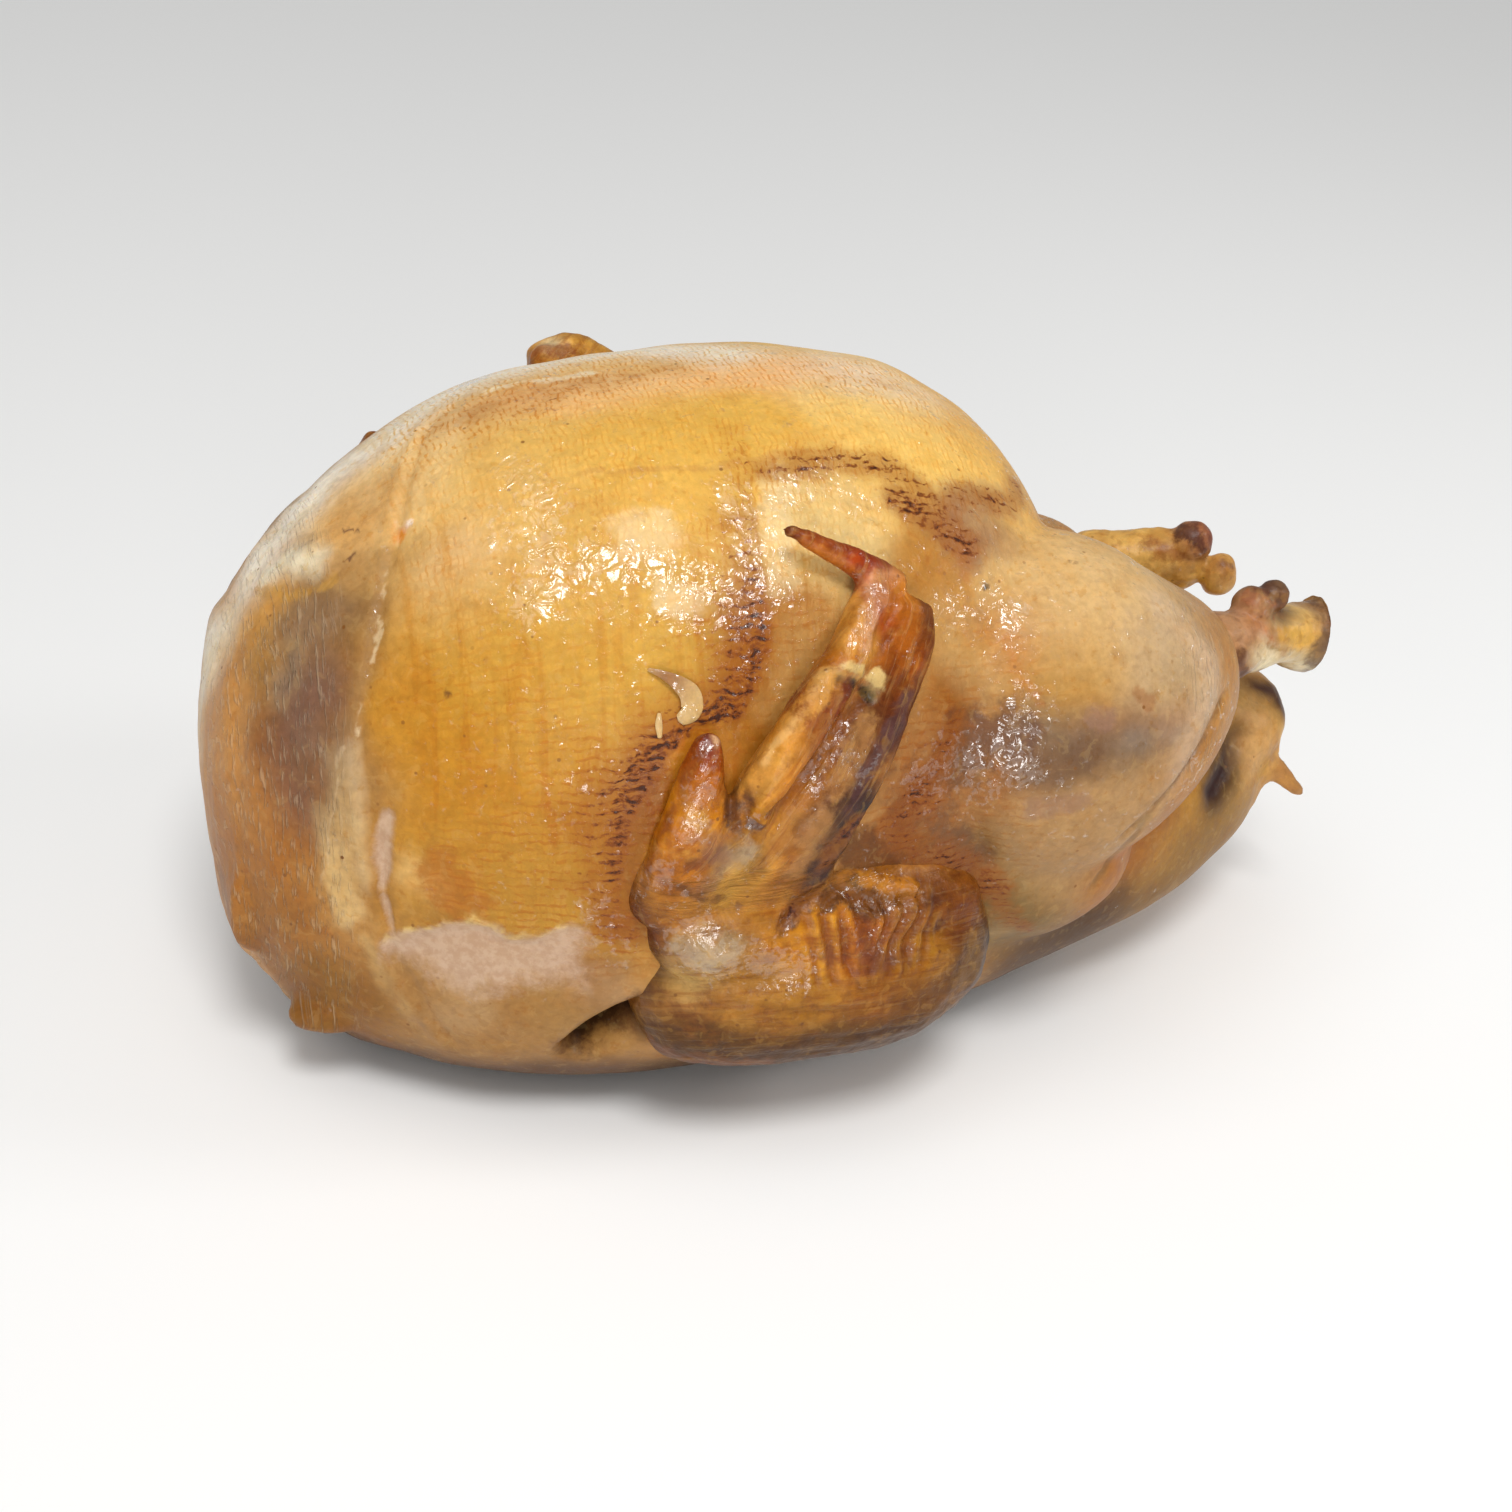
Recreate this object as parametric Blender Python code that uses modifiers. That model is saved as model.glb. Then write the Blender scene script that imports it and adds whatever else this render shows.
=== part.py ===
"""Roast turkey: one whole bird lying on its back, breast up, neck end at -X and tail at +X.

The bird is lofted from its anatomy: the trunk, and a tucked leg and a folded wing on each
side. The overlapping forms are blended into one skin, thinned to a light mesh, and levelled
where the bird rests. Its right side faces -Y and is called the near side here.
"""

import math

import bmesh
import bpy
import numpy as np

MM = 0.001

# Driving dimensions, in millimetres.
RING_POINTS = 48          # points round each section
TRUNK_RINGS = 60
LIMB_RINGS = 26
BLEND_VOXEL = 3.0         # grain at which the overlapping forms become one skin
BLEND_PASSES = 6          # how far the creases between them are eased
TRIANGLES = 8900          # what the finished skin is thinned to
LEVELLING_BLOCK = (600, 500, 100)  # size of the cutter that leaves the flat to rest on
KNUCKLE_SUBDIVISIONS = 3
SKIN_COLOUR = (0.62, 0.36, 0.12, 1.0)
SKIN_ROUGHNESS = 0.32

# Sections of the trunk from neck to tail: x, half width, top, bottom, height of the widest
# place. The slight waist at x = -140 is the fold where the neck skin meets the breast.
TRUNK = (
    (-189, 8, 98, 66, 82),
    (-186, 30, 122, 46, 82),
    (-178, 47, 142, 30, 84),
    (-162, 62, 162, 11, 83),
    (-145, 73, 177, 2, 82),
    (-136, 78, 184, 0, 81),
    (-120, 88, 195, -3, 81),
    (-90, 98, 206, -6, 82),
    (-45, 103, 212, -6, 86),
    (0, 99, 212, -4, 92),
    (35, 89, 203, -4, 90),
    (58, 80, 186, 0, 76),
    (74, 74, 159, 6, 68),
    (95, 67, 126, 12, 62),
    (120, 58, 104, 17, 59),
    (145, 45, 92, 25, 58),
    (168, 29, 84, 36, 60),
    (184, 12, 74, 50, 62),
)
UPPER_FULLNESS = 2.2      # exponents of a section above and below its widest place:
LOWER_FULLNESS = 2.75     # 2 is an ellipse, more is squarer
MIDDLE = (2.0, -1.5, 0.0)  # middle of the bird's box, which becomes the origin

# Limbs from the body outwards: x, distance from the middle plane, z, half width, half
# thickness. The half thickness is measured away from the body.
THIGH = (
    (90, 50, 96, 20, 24),
    (76, 54, 83, 30, 33),
    (60, 56, 75, 34, 37),
    (40, 57, 85, 36, 37),
    (16, 56, 104, 32, 31),
)
NEAR_DRUMSTICK = (
    (8, 54, 112, 28, 24),
    (32, 57, 121, 48, 38),
    (64, 57, 124, 54, 43),
    (95, 50, 125, 41, 38),
    (118, 43, 127, 24, 24),
    (129, 39, 128, 17, 16),
)
FAR_DRUMSTICK = (
    (8, 54, 80, 28, 24),
    (32, 57, 89, 48, 38),
    (64, 57, 92, 54, 43),
    (95, 50, 103, 43, 38),
    (112, 44, 112, 26, 25),
    (126, 39, 121, 15, 14),
)
NEAR_SHANK = (
    (120, 41, 128, 14, 12),
    (146, 34, 127.5, 11, 10.5),
    (164, 28, 125, 12, 11),
    (181, 24, 121, 13.5, 12),
)
FAR_SHANK = (
    (112, 40, 118, 13, 12),
    (132, 34, 122, 12, 11),
    (150, 27, 125, 13, 12),
    (160, 23, 125, 12, 11),
)
UPPER_WING = (
    (-74, 80, 60, 26, 15),
    (-54, 90, 64, 31, 20),
    (-20, 93, 66, 33, 22),
    (14, 90, 63, 29, 21),
    (38, 84, 56, 16, 15),
)
FOREARM = (
    (34, 84, 70, 15, 14),
    (6, 91, 79, 20, 17),
    (-28, 96, 84, 21, 17),
    (-56, 97, 89, 20, 15),
    (-74, 96, 94, 14, 12),
)
HAND_PLATE = (              # the flat skin of the hand, and the bone along its front edge
    (-36, 103, 95, 16, 6),
    (-38, 104, 112, 19, 6),
    (-34, 103, 128, 19, 5.5),
    (-25, 100, 141, 18, 5),
    (-15, 94.5, 156, 15.5, 4.5),
    (-5, 87.5, 168, 11.5, 5),
    (-4, 81, 180, 10, 5),
)
HAND_RIDGE = (
    (-55, 101, 104, 9, 8),
    (-49, 104, 126, 7, 7.5),
    (-40, 103, 143, 6.5, 7),
    (-30, 98, 157, 6.5, 7),
    (-21, 92, 168, 5.5, 6),
    (-13, 83, 179, 5, 5.5),
    (-8, 79, 183, 5.5, 5),
)
WING_TIP = (
    (-3, 80, 177, 8, 6),
    (-10, 78, 184, 6.5, 5),
    (-16, 76.5, 188, 5, 4),
    (-23, 75, 191, 4, 3.5),
    (-31, 73, 195, 3, 2.6),
    (-36, 72, 197, 2, 2),
)
THUMB = (
    (-66, 97, 86, 17, 11),
    (-63, 101, 105, 15, 10),
    (-63, 103, 120, 12, 8.5),
    (-62.5, 102, 134, 8.5, 7),
    (-61, 100, 145, 5.5, 5.5),
    (-60, 99, 151, 3, 3),
)
FAR_TIP = (                 # the far wing's tip, bent forward over the breast
    (-42, 74, 174, 8, 7),
    (-52, 74, 182, 8, 7),
    (-64, 74, 187, 7, 6.5),
    (-77, 74, 184, 4.5, 4.5),
)
TAIL = (
    (138, 0, 70, 34, 27),
    (160, 0, 73, 29, 24),
    (176, 2, 73, 22, 18),
    (188, 4, 69, 13, 11),
)
TAIL_FLAP = (               # loose skin at the near edge of the tail
    (170, 12, 67, 11, 7),
    (180, 16, 63, 9, 6),
    (188, 19, 58, 6.5, 5),
    (193, 21, 54, 4, 3.5),
)
OUTWARD = (0.0, 1.0, 0.35)     # thickness direction of the legs and wings
UPWARD = (0.0, 0.0, 1.0)       # thickness direction of the tail

# Ends of the leg bones: x, y, z, radius.
KNUCKLES = (
    (152, -33, 140, 7.5),
    (150, 29, 134, 8),
    (161, 21, 123, 9),
)

# The far wing is folded further forward than the near one.
FAR_WING_SHIFT = (-50, -7, 0)
FAR_UPPER_WING_SHIFT = (-25, -3, 0)
FAR_THUMB_SHIFT = (-64, -16, 9)
NO_SHIFT = (0, 0, 0)


def smooth_rows(rows, knots, places):
    """Rows read at places from a smooth curve through the given rows, which lie at knots."""
    slopes = np.gradient(rows, knots, axis=0)
    left = np.clip(np.searchsorted(knots, places, side="right") - 1, 0, len(knots) - 2)
    span = (knots[left + 1] - knots[left])[:, None]
    t = (places - knots[left])[:, None] / span
    from_left = (2 * t**3 - 3 * t**2 + 1) * rows[left] + (t**3 - 2 * t**2 + t) * span * slopes[left]
    from_right = (3 * t**2 - 2 * t**3) * rows[left + 1] + (t**3 - t**2) * span * slopes[left + 1]
    return from_left + from_right


def distances(points):
    """Distance of each point from the first, along the path through them."""
    return np.concatenate([[0.0], np.cumsum(np.linalg.norm(np.diff(points, axis=0), axis=1))])


def outline(exponent):
    """Unit outline of a section, as its sideways and upward parts."""
    angles = np.linspace(0.0, 2.0 * math.pi, RING_POINTS, endpoint=False)
    side = np.sign(np.cos(angles)) * np.abs(np.cos(angles)) ** (2.0 / exponent)
    rise = np.sign(np.sin(angles)) * np.abs(np.sin(angles)) ** (2.0 / exponent)
    return side, rise


def loft(rings):
    """A closed mesh through rings of points, shut with a fan at each end."""
    skin = bmesh.new()
    rows = [[skin.verts.new(point) for point in ring] for ring in rings]
    for lower, upper in zip(rows, rows[1:]):
        for i in range(RING_POINTS):
            j = (i + 1) % RING_POINTS
            skin.faces.new((lower[i], lower[j], upper[j], upper[i]))
    for row, ring in ((rows[0], rings[0]), (rows[-1], rings[-1])):
        middle = skin.verts.new(ring.mean(axis=0))
        for i in range(RING_POINTS):
            skin.faces.new((row[i], row[(i + 1) % RING_POINTS], middle))
    bmesh.ops.recalc_face_normals(skin, faces=skin.faces)
    return skin


def trunk():
    """Breast, belly and back: upright sections, each fuller below its widest place."""
    rows = np.array(TRUNK, float)
    places = np.linspace(rows[0, 0], rows[-1, 0], TRUNK_RINGS)
    x, width, top, bottom, middle = smooth_rows(rows, rows[:, 0], places).T[:, :, None]
    upper_side, upper_rise = outline(UPPER_FULLNESS)
    lower_side, lower_rise = outline(LOWER_FULLNESS)
    side = np.where(upper_rise < 0, lower_side, upper_side)
    height = np.where(upper_rise < 0, (middle - bottom) * lower_rise, (top - middle) * upper_rise)
    return loft(np.stack([x + 0 * side, width * side, middle + height], axis=-1))


def limb(stations, sign, shift=NO_SHIFT, away=OUTWARD):
    """A round-ended limb of oval sections along its stations, on the side that sign gives.

    The shift is in the stations' own terms: along, away from the middle plane, and up.
    """
    stations = np.array(stations, float)
    knots = distances(stations[:, :3])
    rows = smooth_rows(stations, knots, np.linspace(0.0, knots[-1], LIMB_RINGS))
    centre = rows[:, :3] + shift
    centre[:, 1] *= sign
    along = np.gradient(centre, axis=0)
    wide = np.cross(along, np.array(away) * (1.0, sign, 1.0))
    wide /= np.linalg.norm(wide, axis=1, keepdims=True)
    thick = np.cross(wide, along)
    thick /= np.linalg.norm(thick, axis=1, keepdims=True)
    travel = distances(centre)
    cap = np.minimum(rows[[0, -1], 4], travel[-1] / 2)
    from_end = np.minimum(travel / cap[0], (travel[-1] - travel) / cap[1])
    rounding = np.sqrt(1.0 - (1.0 - np.clip(from_end, 0.02, 1.0)) ** 2)[:, None, None]
    side, rise = outline(2.0)
    wide_part = wide[:, None, :] * (rows[:, 3, None] * side)[:, :, None]
    thick_part = thick[:, None, :] * (rows[:, 4, None] * rise)[:, :, None]
    return loft(centre[:, None, :] + rounding * (wide_part + thick_part))


def knuckle(x, y, z, radius):
    """The rounded end of a leg bone."""
    knob = bmesh.new()
    bmesh.ops.create_icosphere(knob, subdivisions=KNUCKLE_SUBDIVISIONS, radius=radius)
    bmesh.ops.translate(knob, verts=knob.verts, vec=(x, y, z))
    return knob


def legs():
    yield limb(THIGH, -1)
    yield limb(NEAR_DRUMSTICK, -1)
    yield limb(NEAR_SHANK, -1)
    yield limb(THIGH, 1)
    yield limb(FAR_DRUMSTICK, 1)
    yield limb(FAR_SHANK, 1)
    for place in KNUCKLES:
        yield knuckle(*place)


def wing(sign, upper_shift, shift, thumb_shift):
    yield limb(UPPER_WING, sign, upper_shift)
    for stations in (FOREARM, HAND_PLATE, HAND_RIDGE, WING_TIP):
        yield limb(stations, sign, shift)
    yield limb(THUMB, sign, thumb_shift)


def forms():
    yield trunk()
    yield from legs()
    yield from wing(-1, NO_SHIFT, NO_SHIFT, NO_SHIFT)
    yield from wing(1, FAR_UPPER_WING_SHIFT, FAR_WING_SHIFT, FAR_THUMB_SHIFT)
    yield limb(FAR_TIP, 1)
    yield limb(TAIL, -1, away=UPWARD)
    yield limb(TAIL_FLAP, -1)


def clear_scene():
    for item in list(bpy.data.objects):
        bpy.data.objects.remove(item, do_unlink=True)


def new_collection(name):
    made = bpy.data.collections.new(name)
    bpy.context.scene.collection.children.link(made)
    return made


def roast_skin():
    made = bpy.data.materials.new("roast_skin")
    made.use_nodes = True
    shader = made.node_tree.nodes["Principled BSDF"]
    shader.inputs["Base Color"].default_value = SKIN_COLOUR
    shader.inputs["Roughness"].default_value = SKIN_ROUGHNESS
    shader.inputs["Metallic"].default_value = 0.0
    return made


def gathered_forms():
    """All the forms in one mesh, in metres, still overlapping."""
    whole = bmesh.new()
    for form in forms():
        bmesh.ops.translate(form, vec=[-place for place in MIDDLE], verts=form.verts)
        bmesh.ops.scale(form, vec=(MM, MM, MM), verts=form.verts)
        piece = bpy.data.meshes.new("form")
        form.to_mesh(piece)
        form.free()
        whole.from_mesh(piece)
        bpy.data.meshes.remove(piece)
    mesh = bpy.data.meshes.new("turkey")
    whole.to_mesh(mesh)
    whole.free()
    return mesh


def levelling_block(cutters):
    """A cutter below the ground plane. Its top face leaves the flat that the bird rests on."""
    block_mesh = bpy.data.meshes.new("levelling_block")
    cube = bmesh.new()
    bmesh.ops.create_cube(cube, size=1.0)
    size = [length * MM for length in LEVELLING_BLOCK]
    bmesh.ops.scale(cube, vec=size, verts=cube.verts)
    bmesh.ops.translate(cube, vec=(0.0, 0.0, -size[2] / 2), verts=cube.verts)
    cube.to_mesh(block_mesh)
    cube.free()
    block = bpy.data.objects.new("levelling_block", block_mesh)
    block.hide_render = True
    block.display_type = "WIRE"
    cutters.objects.link(block)
    return block


def blend_into_skin(turkey):
    blend = turkey.modifiers.new("blend", "REMESH")
    blend.mode = "VOXEL"
    blend.voxel_size = BLEND_VOXEL * MM
    ease = turkey.modifiers.new("ease", "SMOOTH")
    ease.factor = 0.5
    ease.iterations = BLEND_PASSES
    dense = turkey.evaluated_get(bpy.context.evaluated_depsgraph_get()).to_mesh()
    dense.calc_loop_triangles()
    thin = turkey.modifiers.new("thin", "DECIMATE")
    thin.ratio = TRIANGLES / len(dense.loop_triangles)


def main():
    clear_scene()
    bird = new_collection("roast_turkey")
    cutters = new_collection("cutters")
    turkey = bpy.data.objects.new("turkey", gathered_forms())
    bird.objects.link(turkey)
    turkey.data.materials.append(roast_skin())
    blend_into_skin(turkey)
    level = turkey.modifiers.new("level", "BOOLEAN")
    level.operation = "DIFFERENCE"
    level.object = levelling_block(cutters)


main()
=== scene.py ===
import math
import bmesh
import bpy
import numpy as np
from mathutils import Matrix, Vector


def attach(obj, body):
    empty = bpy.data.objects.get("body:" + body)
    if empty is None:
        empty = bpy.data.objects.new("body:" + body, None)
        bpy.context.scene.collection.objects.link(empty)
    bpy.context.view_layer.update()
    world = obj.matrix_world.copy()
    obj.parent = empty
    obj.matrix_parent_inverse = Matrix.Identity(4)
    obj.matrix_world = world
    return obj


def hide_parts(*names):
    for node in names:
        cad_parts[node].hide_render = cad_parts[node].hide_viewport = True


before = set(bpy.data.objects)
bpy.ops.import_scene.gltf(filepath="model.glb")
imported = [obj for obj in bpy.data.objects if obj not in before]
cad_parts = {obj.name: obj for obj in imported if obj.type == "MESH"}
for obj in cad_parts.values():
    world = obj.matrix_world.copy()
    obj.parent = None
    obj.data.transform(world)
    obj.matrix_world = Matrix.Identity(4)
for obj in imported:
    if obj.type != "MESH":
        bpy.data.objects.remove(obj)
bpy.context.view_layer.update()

# Roast turkey, whole, lying on its back: neck end at -X, legs and tail at +X, right side to -Y.
# Shapes and paint are laid out in millimetres and put into the meshes in metres.

mm = 0.001
scene = bpy.context.scene
middle = np.array((2.0, -1.5, 0.0))       # what the stations below are shifted by, to sit centred
nearSide, farSide = -1, 1

stageLook = {
    "cameraPlace": (-0.2023, -0.5181, 0.4286),
    "cameraTurn": (57.4, 6.31, -20.12),   # tilt up from straight down, roll, heading, in degrees
    "lens": 46.6,
    "sensor": 36.0,
    "clip": 0.01,
    "worldStrength": 0.26,
    "floorColour": (0.93, 0.93, 0.92, 1),
    "floorRoughness": 0.9,
    "floorHalf": 3.0,
    "skyPanel": (1.0, 60.0, (-0.35, -0.35, 1.3)),     # strength, softness in degrees, from where
    # name: place, size, watts, aimed at
    "lights": {
        "keySoftbox": ((-0.16, -0.79, 1.50), 0.50, 12.0, (-0.03, -0.03, 0.12)),
        "frontLow": ((-0.35, -1.75, 0.26), 0.50, 8.0, (0.0, 0.0, 0.10)),
        "sideStrip": ((1.29, -0.42, 0.97), 0.40, 4.0, (0.03, 0.0, 0.12)),
    },
}


def placed(name, data):
    made = bpy.data.objects.new(name, data)
    scene.collection.objects.link(made)
    return made


def addLamp(name, kind, energy, heading, **settings):
    lamp = bpy.data.lights.new(name, kind)
    for key, value in dict(settings, energy=energy).items():
        setattr(lamp, key, value)
    holder = placed(name, lamp)
    holder.rotation_euler = heading.to_track_quat("-Z", "Y").to_euler()
    return holder


def makeStage():
    tilt, roll, heading = (math.radians(turn) for turn in stageLook["cameraTurn"])
    lensData = bpy.data.cameras.new("studioCamera")
    lensData.lens = stageLook["lens"]
    lensData.sensor_width = stageLook["sensor"]
    lensData.clip_start = stageLook["clip"]
    camera = placed("studioCamera", lensData)
    camera.matrix_world = (Matrix.Translation(stageLook["cameraPlace"])
                           @ Matrix.Rotation(heading, 4, "Z") @ Matrix.Rotation(tilt, 4, "X")
                           @ Matrix.Rotation(roll, 4, "Z"))
    scene.camera = camera
    for name, (place, size, watts, aim) in stageLook["lights"].items():
        aimed = Vector(aim) - Vector(place)
        addLamp(name, "AREA", watts, aimed, shape="DISK", size=size).location = place
    strength, softness, source = stageLook["skyPanel"]
    addLamp("skyPanel", "SUN", strength, -Vector(source), angle=math.radians(softness))

    world = bpy.data.worlds.new("studio")
    world.use_nodes = True
    backdrop = world.node_tree.nodes["Background"]
    backdrop.inputs["Color"].default_value = (1, 1, 1, 1)
    backdrop.inputs["Strength"].default_value = stageLook["worldStrength"]
    scene.world = world
    scene.view_settings.view_transform = "Standard"

    half = stageLook["floorHalf"]
    sheet = bpy.data.meshes.new("floor")
    sheet.from_pydata([(-half, -half, 0), (half, -half, 0), (half, half, 0), (-half, half, 0)],
                      [], [(0, 1, 2, 3)])
    floor = placed("floor", sheet)
    paint = bpy.data.materials.new("paleFloor")
    paint.use_nodes = True
    shader = paint.node_tree.nodes["Principled BSDF"]
    shader.inputs["Base Color"].default_value = stageLook["floorColour"]
    shader.inputs["Roughness"].default_value = stageLook["floorRoughness"]
    sheet.materials.append(paint)
    print("stage set")


def smoothRows(rows, knots, places):
    # cubic through the rows, each row's slope taken from its neighbours
    slopes = np.gradient(rows, knots, axis=0)
    left = np.clip(np.searchsorted(knots, places, side="right") - 1, 0, len(knots) - 2)
    span = (knots[left + 1] - knots[left])[:, None]
    t = (places - knots[left])[:, None] / span
    fromLeft = (2 * t**3 - 3 * t**2 + 1) * rows[left] + (t**3 - 2 * t**2 + t) * span * slopes[left]
    fromRight = (3 * t**2 - 2 * t**3) * rows[left + 1] + (t**3 - t**2) * span * slopes[left + 1]
    return fromLeft + fromRight


def travelled(points):
    # distance of each point from the first, along the path
    return np.concatenate([[0.0], np.cumsum(np.linalg.norm(np.diff(points, axis=0), axis=1))])


def unit(vectors):
    return vectors / np.linalg.norm(vectors, axis=-1, keepdims=True)


def smoothStep(low, high, values):
    t = np.clip((values - low) / (high - low), 0.0, 1.0)
    return t * t * (3 - 2 * t)


# odd numbers that scramble a lattice cell's place and the seed into a random height
placeKeys = np.array([73856093, 19349663, 83492791])
seedKey = 7919
scramblers = ((15, 2246822519), (13, 3266489917))


def noise(points, size, seed=0):
    # random heights from -1 to 1 on a lattice of the given size, blended smoothly in between
    place = points / np.asarray(size, float)
    cell = np.floor(place).astype(np.int64)
    inside = smoothStep(0.0, 1.0, place - cell)
    total = np.zeros(len(points))
    for corner in range(8):
        step = np.array([corner & 1, corner >> 1 & 1, corner >> 2 & 1])
        key = (cell + step) * placeKeys
        mixed = (key[:, 0] ^ key[:, 1] ^ key[:, 2] ^ seed * seedKey) & 0xFFFFFFFF
        for shift, scrambler in scramblers:
            mixed = ((mixed ^ mixed >> shift) * scrambler) & 0xFFFFFFFF
        height = (mixed >> 8 & 0xFFFF) / 32767.5 - 1.0
        total += height * np.where(step, inside, 1 - inside).prod(axis=1)
    return total


def layered(points, layers):
    # the sum of noises, each with a height, a size and a seed
    return sum(height * noise(points, size, seed) for height, size, seed in layers)


def drift(points, firstSeed, *layers):
    # uneven shifts along x, y and z: noises, each with a height, a size and a step of the seed
    return np.stack([sum(height * noise(points, size, seed + step) for height, size, step in layers)
                     for seed in range(firstSeed, firstSeed + 3)], axis=-1)


def dab(points, centre, radius):
    # a soft round spot, 1 at its centre; the radius may differ along x, y and z
    gap = (points - np.array(centre, float)) / np.asarray(radius, float)
    return np.exp(-(gap ** 2).sum(axis=1))


def strokeGap(points, path):
    # distance of each point from a path, and how far along it (0 to 1) the nearest place is
    path = np.array(path, float)
    ends = travelled(path)
    nearest = np.full(len(points), 1e9)
    along = np.zeros(len(points))
    for start, end, before, after in zip(path[:-1], path[1:], ends[:-1], ends[1:]):
        run = end - start
        t = np.clip((points - start) @ run / (run @ run), 0.0, 1.0)
        gap = np.linalg.norm(points - start - t[:, None] * run, axis=1)
        closer = gap < nearest
        nearest = np.where(closer, gap, nearest)
        along = np.where(closer, (before + t * (after - before)) / ends[-1], along)
    return nearest, along


def stroke(points, path, width, taper=0.0):
    # a soft line along a path, 1 on the line; taper narrows it towards both ends
    gap, along = strokeGap(points, path)
    narrow = 1.0 - taper * (2 * along - 1) ** 2
    return np.exp(-(gap / (width * narrow)) ** 2)


def raised(points, ridges):
    # the sum of ridges, or grooves, each with a height, a path, a width and perhaps a taper
    return sum(height * stroke(points, *ridge) for height, *ridge in ridges.values())


def darkest(points, char, scorches):
    # the most scorched of what is there and of strokes given like ridges
    for amount, *line in scorches.values():
        char = np.maximum(char, amount * stroke(points, *line))
    return char


def linear(hexColour):
    # "d59e4d" to the linear numbers that a shader works in
    parts = np.array([int(hexColour[i:i + 2], 16) for i in (0, 2, 4)]) / 255.0
    return np.where(parts <= 0.04045, parts / 12.92, ((parts + 0.055) / 1.055) ** 2.4)


def spread(points, path, width):
    # 1 along a path, falling smoothly to 0 at two widths; one point makes a spot
    path = np.atleast_2d(np.array(path, float))
    if len(path) == 1:
        path = np.concatenate([path, path + 0.01])
    reach = 2.0 * width
    close = ((points > path.min(axis=0) - reach) & (points < path.max(axis=0) + reach)).all(axis=1)
    cover = np.zeros(len(points))
    cover[close] = smoothStep(2.0, 0.1, strokeGap(points[close], path)[0] / width)
    return cover


def stained(points, tint, stains, wander):
    # coats of colour over the tint, each with a colour, path, width, amount and patchiness:
    # gives the tint below the coats, their colour, and how far inside a coat each place lies
    places = points + wander * drift(points, 41, (1.0, 5.0, 0))
    tint = tint.copy()
    stain = tint.copy()
    inside = np.zeros(len(points))
    amounts = np.zeros(len(points))
    for seed, (colour, path, width, amount, patchy) in enumerate(stains.values(), 50):
        depth = spread(places, path, width)
        wet = np.flatnonzero(depth > 0.0)
        if patchy < 0.0:                              # soft, worked into the tint below the coats
            tint[wet] += (amount * depth[wet])[:, None] * (linear(colour) - tint[wet])
            continue
        broken = smoothStep(-0.35, 0.45, noise(points[wet], 2.5 + 0.3 * width, seed))
        depth = np.clip(depth[wet] - 0.45 * patchy * broken, 0.0, 1.0)
        before = inside[wet] * amounts[wet] * depth
        tint[wet] += before[:, None] * (stain[wet] - tint[wet])
        share = depth / np.maximum(depth + inside[wet] * (1.0 - depth), 1e-6)
        stain[wet] += share[:, None] * (linear(colour) - stain[wet])
        amounts[wet] += share * (amount - amounts[wet])
        inside[wet] = np.maximum(inside[wet] * (1.0 - depth), depth)
    return tint, stain, channels(points, inside, amounts)


def channels(points, red=0.0, green=0.0, blue=0.0):
    # three values at every point, kept together as one colour
    return np.stack([part + np.zeros(len(points)) for part in (red, green, blue)], axis=-1)


def folded(points):
    # both sides laid on the near one
    return np.where(np.array([False, True, False]), -np.abs(points), points)


def wettest(points, film, pools):
    # the wettest of what is there and of pools, each with a wetness, a path and a width
    for amount, path, width in pools:
        film = np.maximum(film, amount * spread(points, path, width))
    return film


def paintSkin(piece, places, tint, stains, wander, marks, lay, veil):
    # everything that the roast skin's shader reads from the mesh
    tint, stain, inside = stained(places, tint, stains, wander)
    for name, values in (("tint", tint), ("stain", stain), ("inside", inside), ("marks", marks),
                         ("lay", lay), ("veil", veil)):
        writeColour(piece, name, values)


formLook = {
    "ringPoints": 72,
    "trunkRings": 110,
    "limbRings": 44,
    "ballRings": 13,
    "upperFullness": 2.2,     # how square the sections are above and below their widest place
    "lowerFullness": 2.75,
}


def ovalOutline(exponent):
    # unit superellipse: sideways and upward parts
    angles = np.linspace(0.0, 2.0 * math.pi, formLook["ringPoints"], endpoint=False)
    parts = np.cos(angles), np.sin(angles)
    return [np.sign(part) * np.abs(part) ** (2.0 / exponent) for part in parts]


def closedLoft(rings):
    # rings of points (ring, point, xyz) to vertices and faces, with a fan over each end
    count, around = rings.shape[:2]
    points = np.concatenate([rings.reshape(-1, 3), rings[[0, -1]].mean(axis=1)])
    row, column = np.meshgrid(np.arange(count - 1), np.arange(around), indexing="ij")
    here = row * around + column
    beside = row * around + (column + 1) % around
    walls = np.stack([here, beside, beside + around, here + around], axis=-1).reshape(-1, 4)
    turn = np.arange(around)
    last = (count - 1) * around
    tip = count * around
    first = np.stack([(turn + 1) % around, turn, 0 * turn + tip], axis=-1)
    final = np.stack([last + turn, last + (turn + 1) % around, 0 * turn + tip + 1], axis=-1)
    return points, walls.tolist() + first.tolist() + final.tolist()


# x, half width, top, bottom, height of the widest place
trunkStations = (
    (-189, 8, 98, 66, 82), (-186, 30, 122, 46, 82), (-178, 47, 142, 30, 84),
    (-162, 62, 162, 11, 83), (-145, 73, 177, 2, 82), (-136, 78, 184, 0, 81),
    (-120, 88, 195, -3, 81), (-90, 98, 206, -6, 82), (-45, 103, 212, -6, 86),
    (0, 99, 212, -4, 92), (35, 89, 203, -4, 90), (58, 80, 186, 0, 76),
    (74, 74, 159, 6, 68), (95, 67, 126, 12, 62), (120, 58, 104, 17, 59),
    (145, 45, 92, 25, 58), (168, 29, 84, 36, 60), (184, 12, 74, 50, 62),
)
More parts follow.
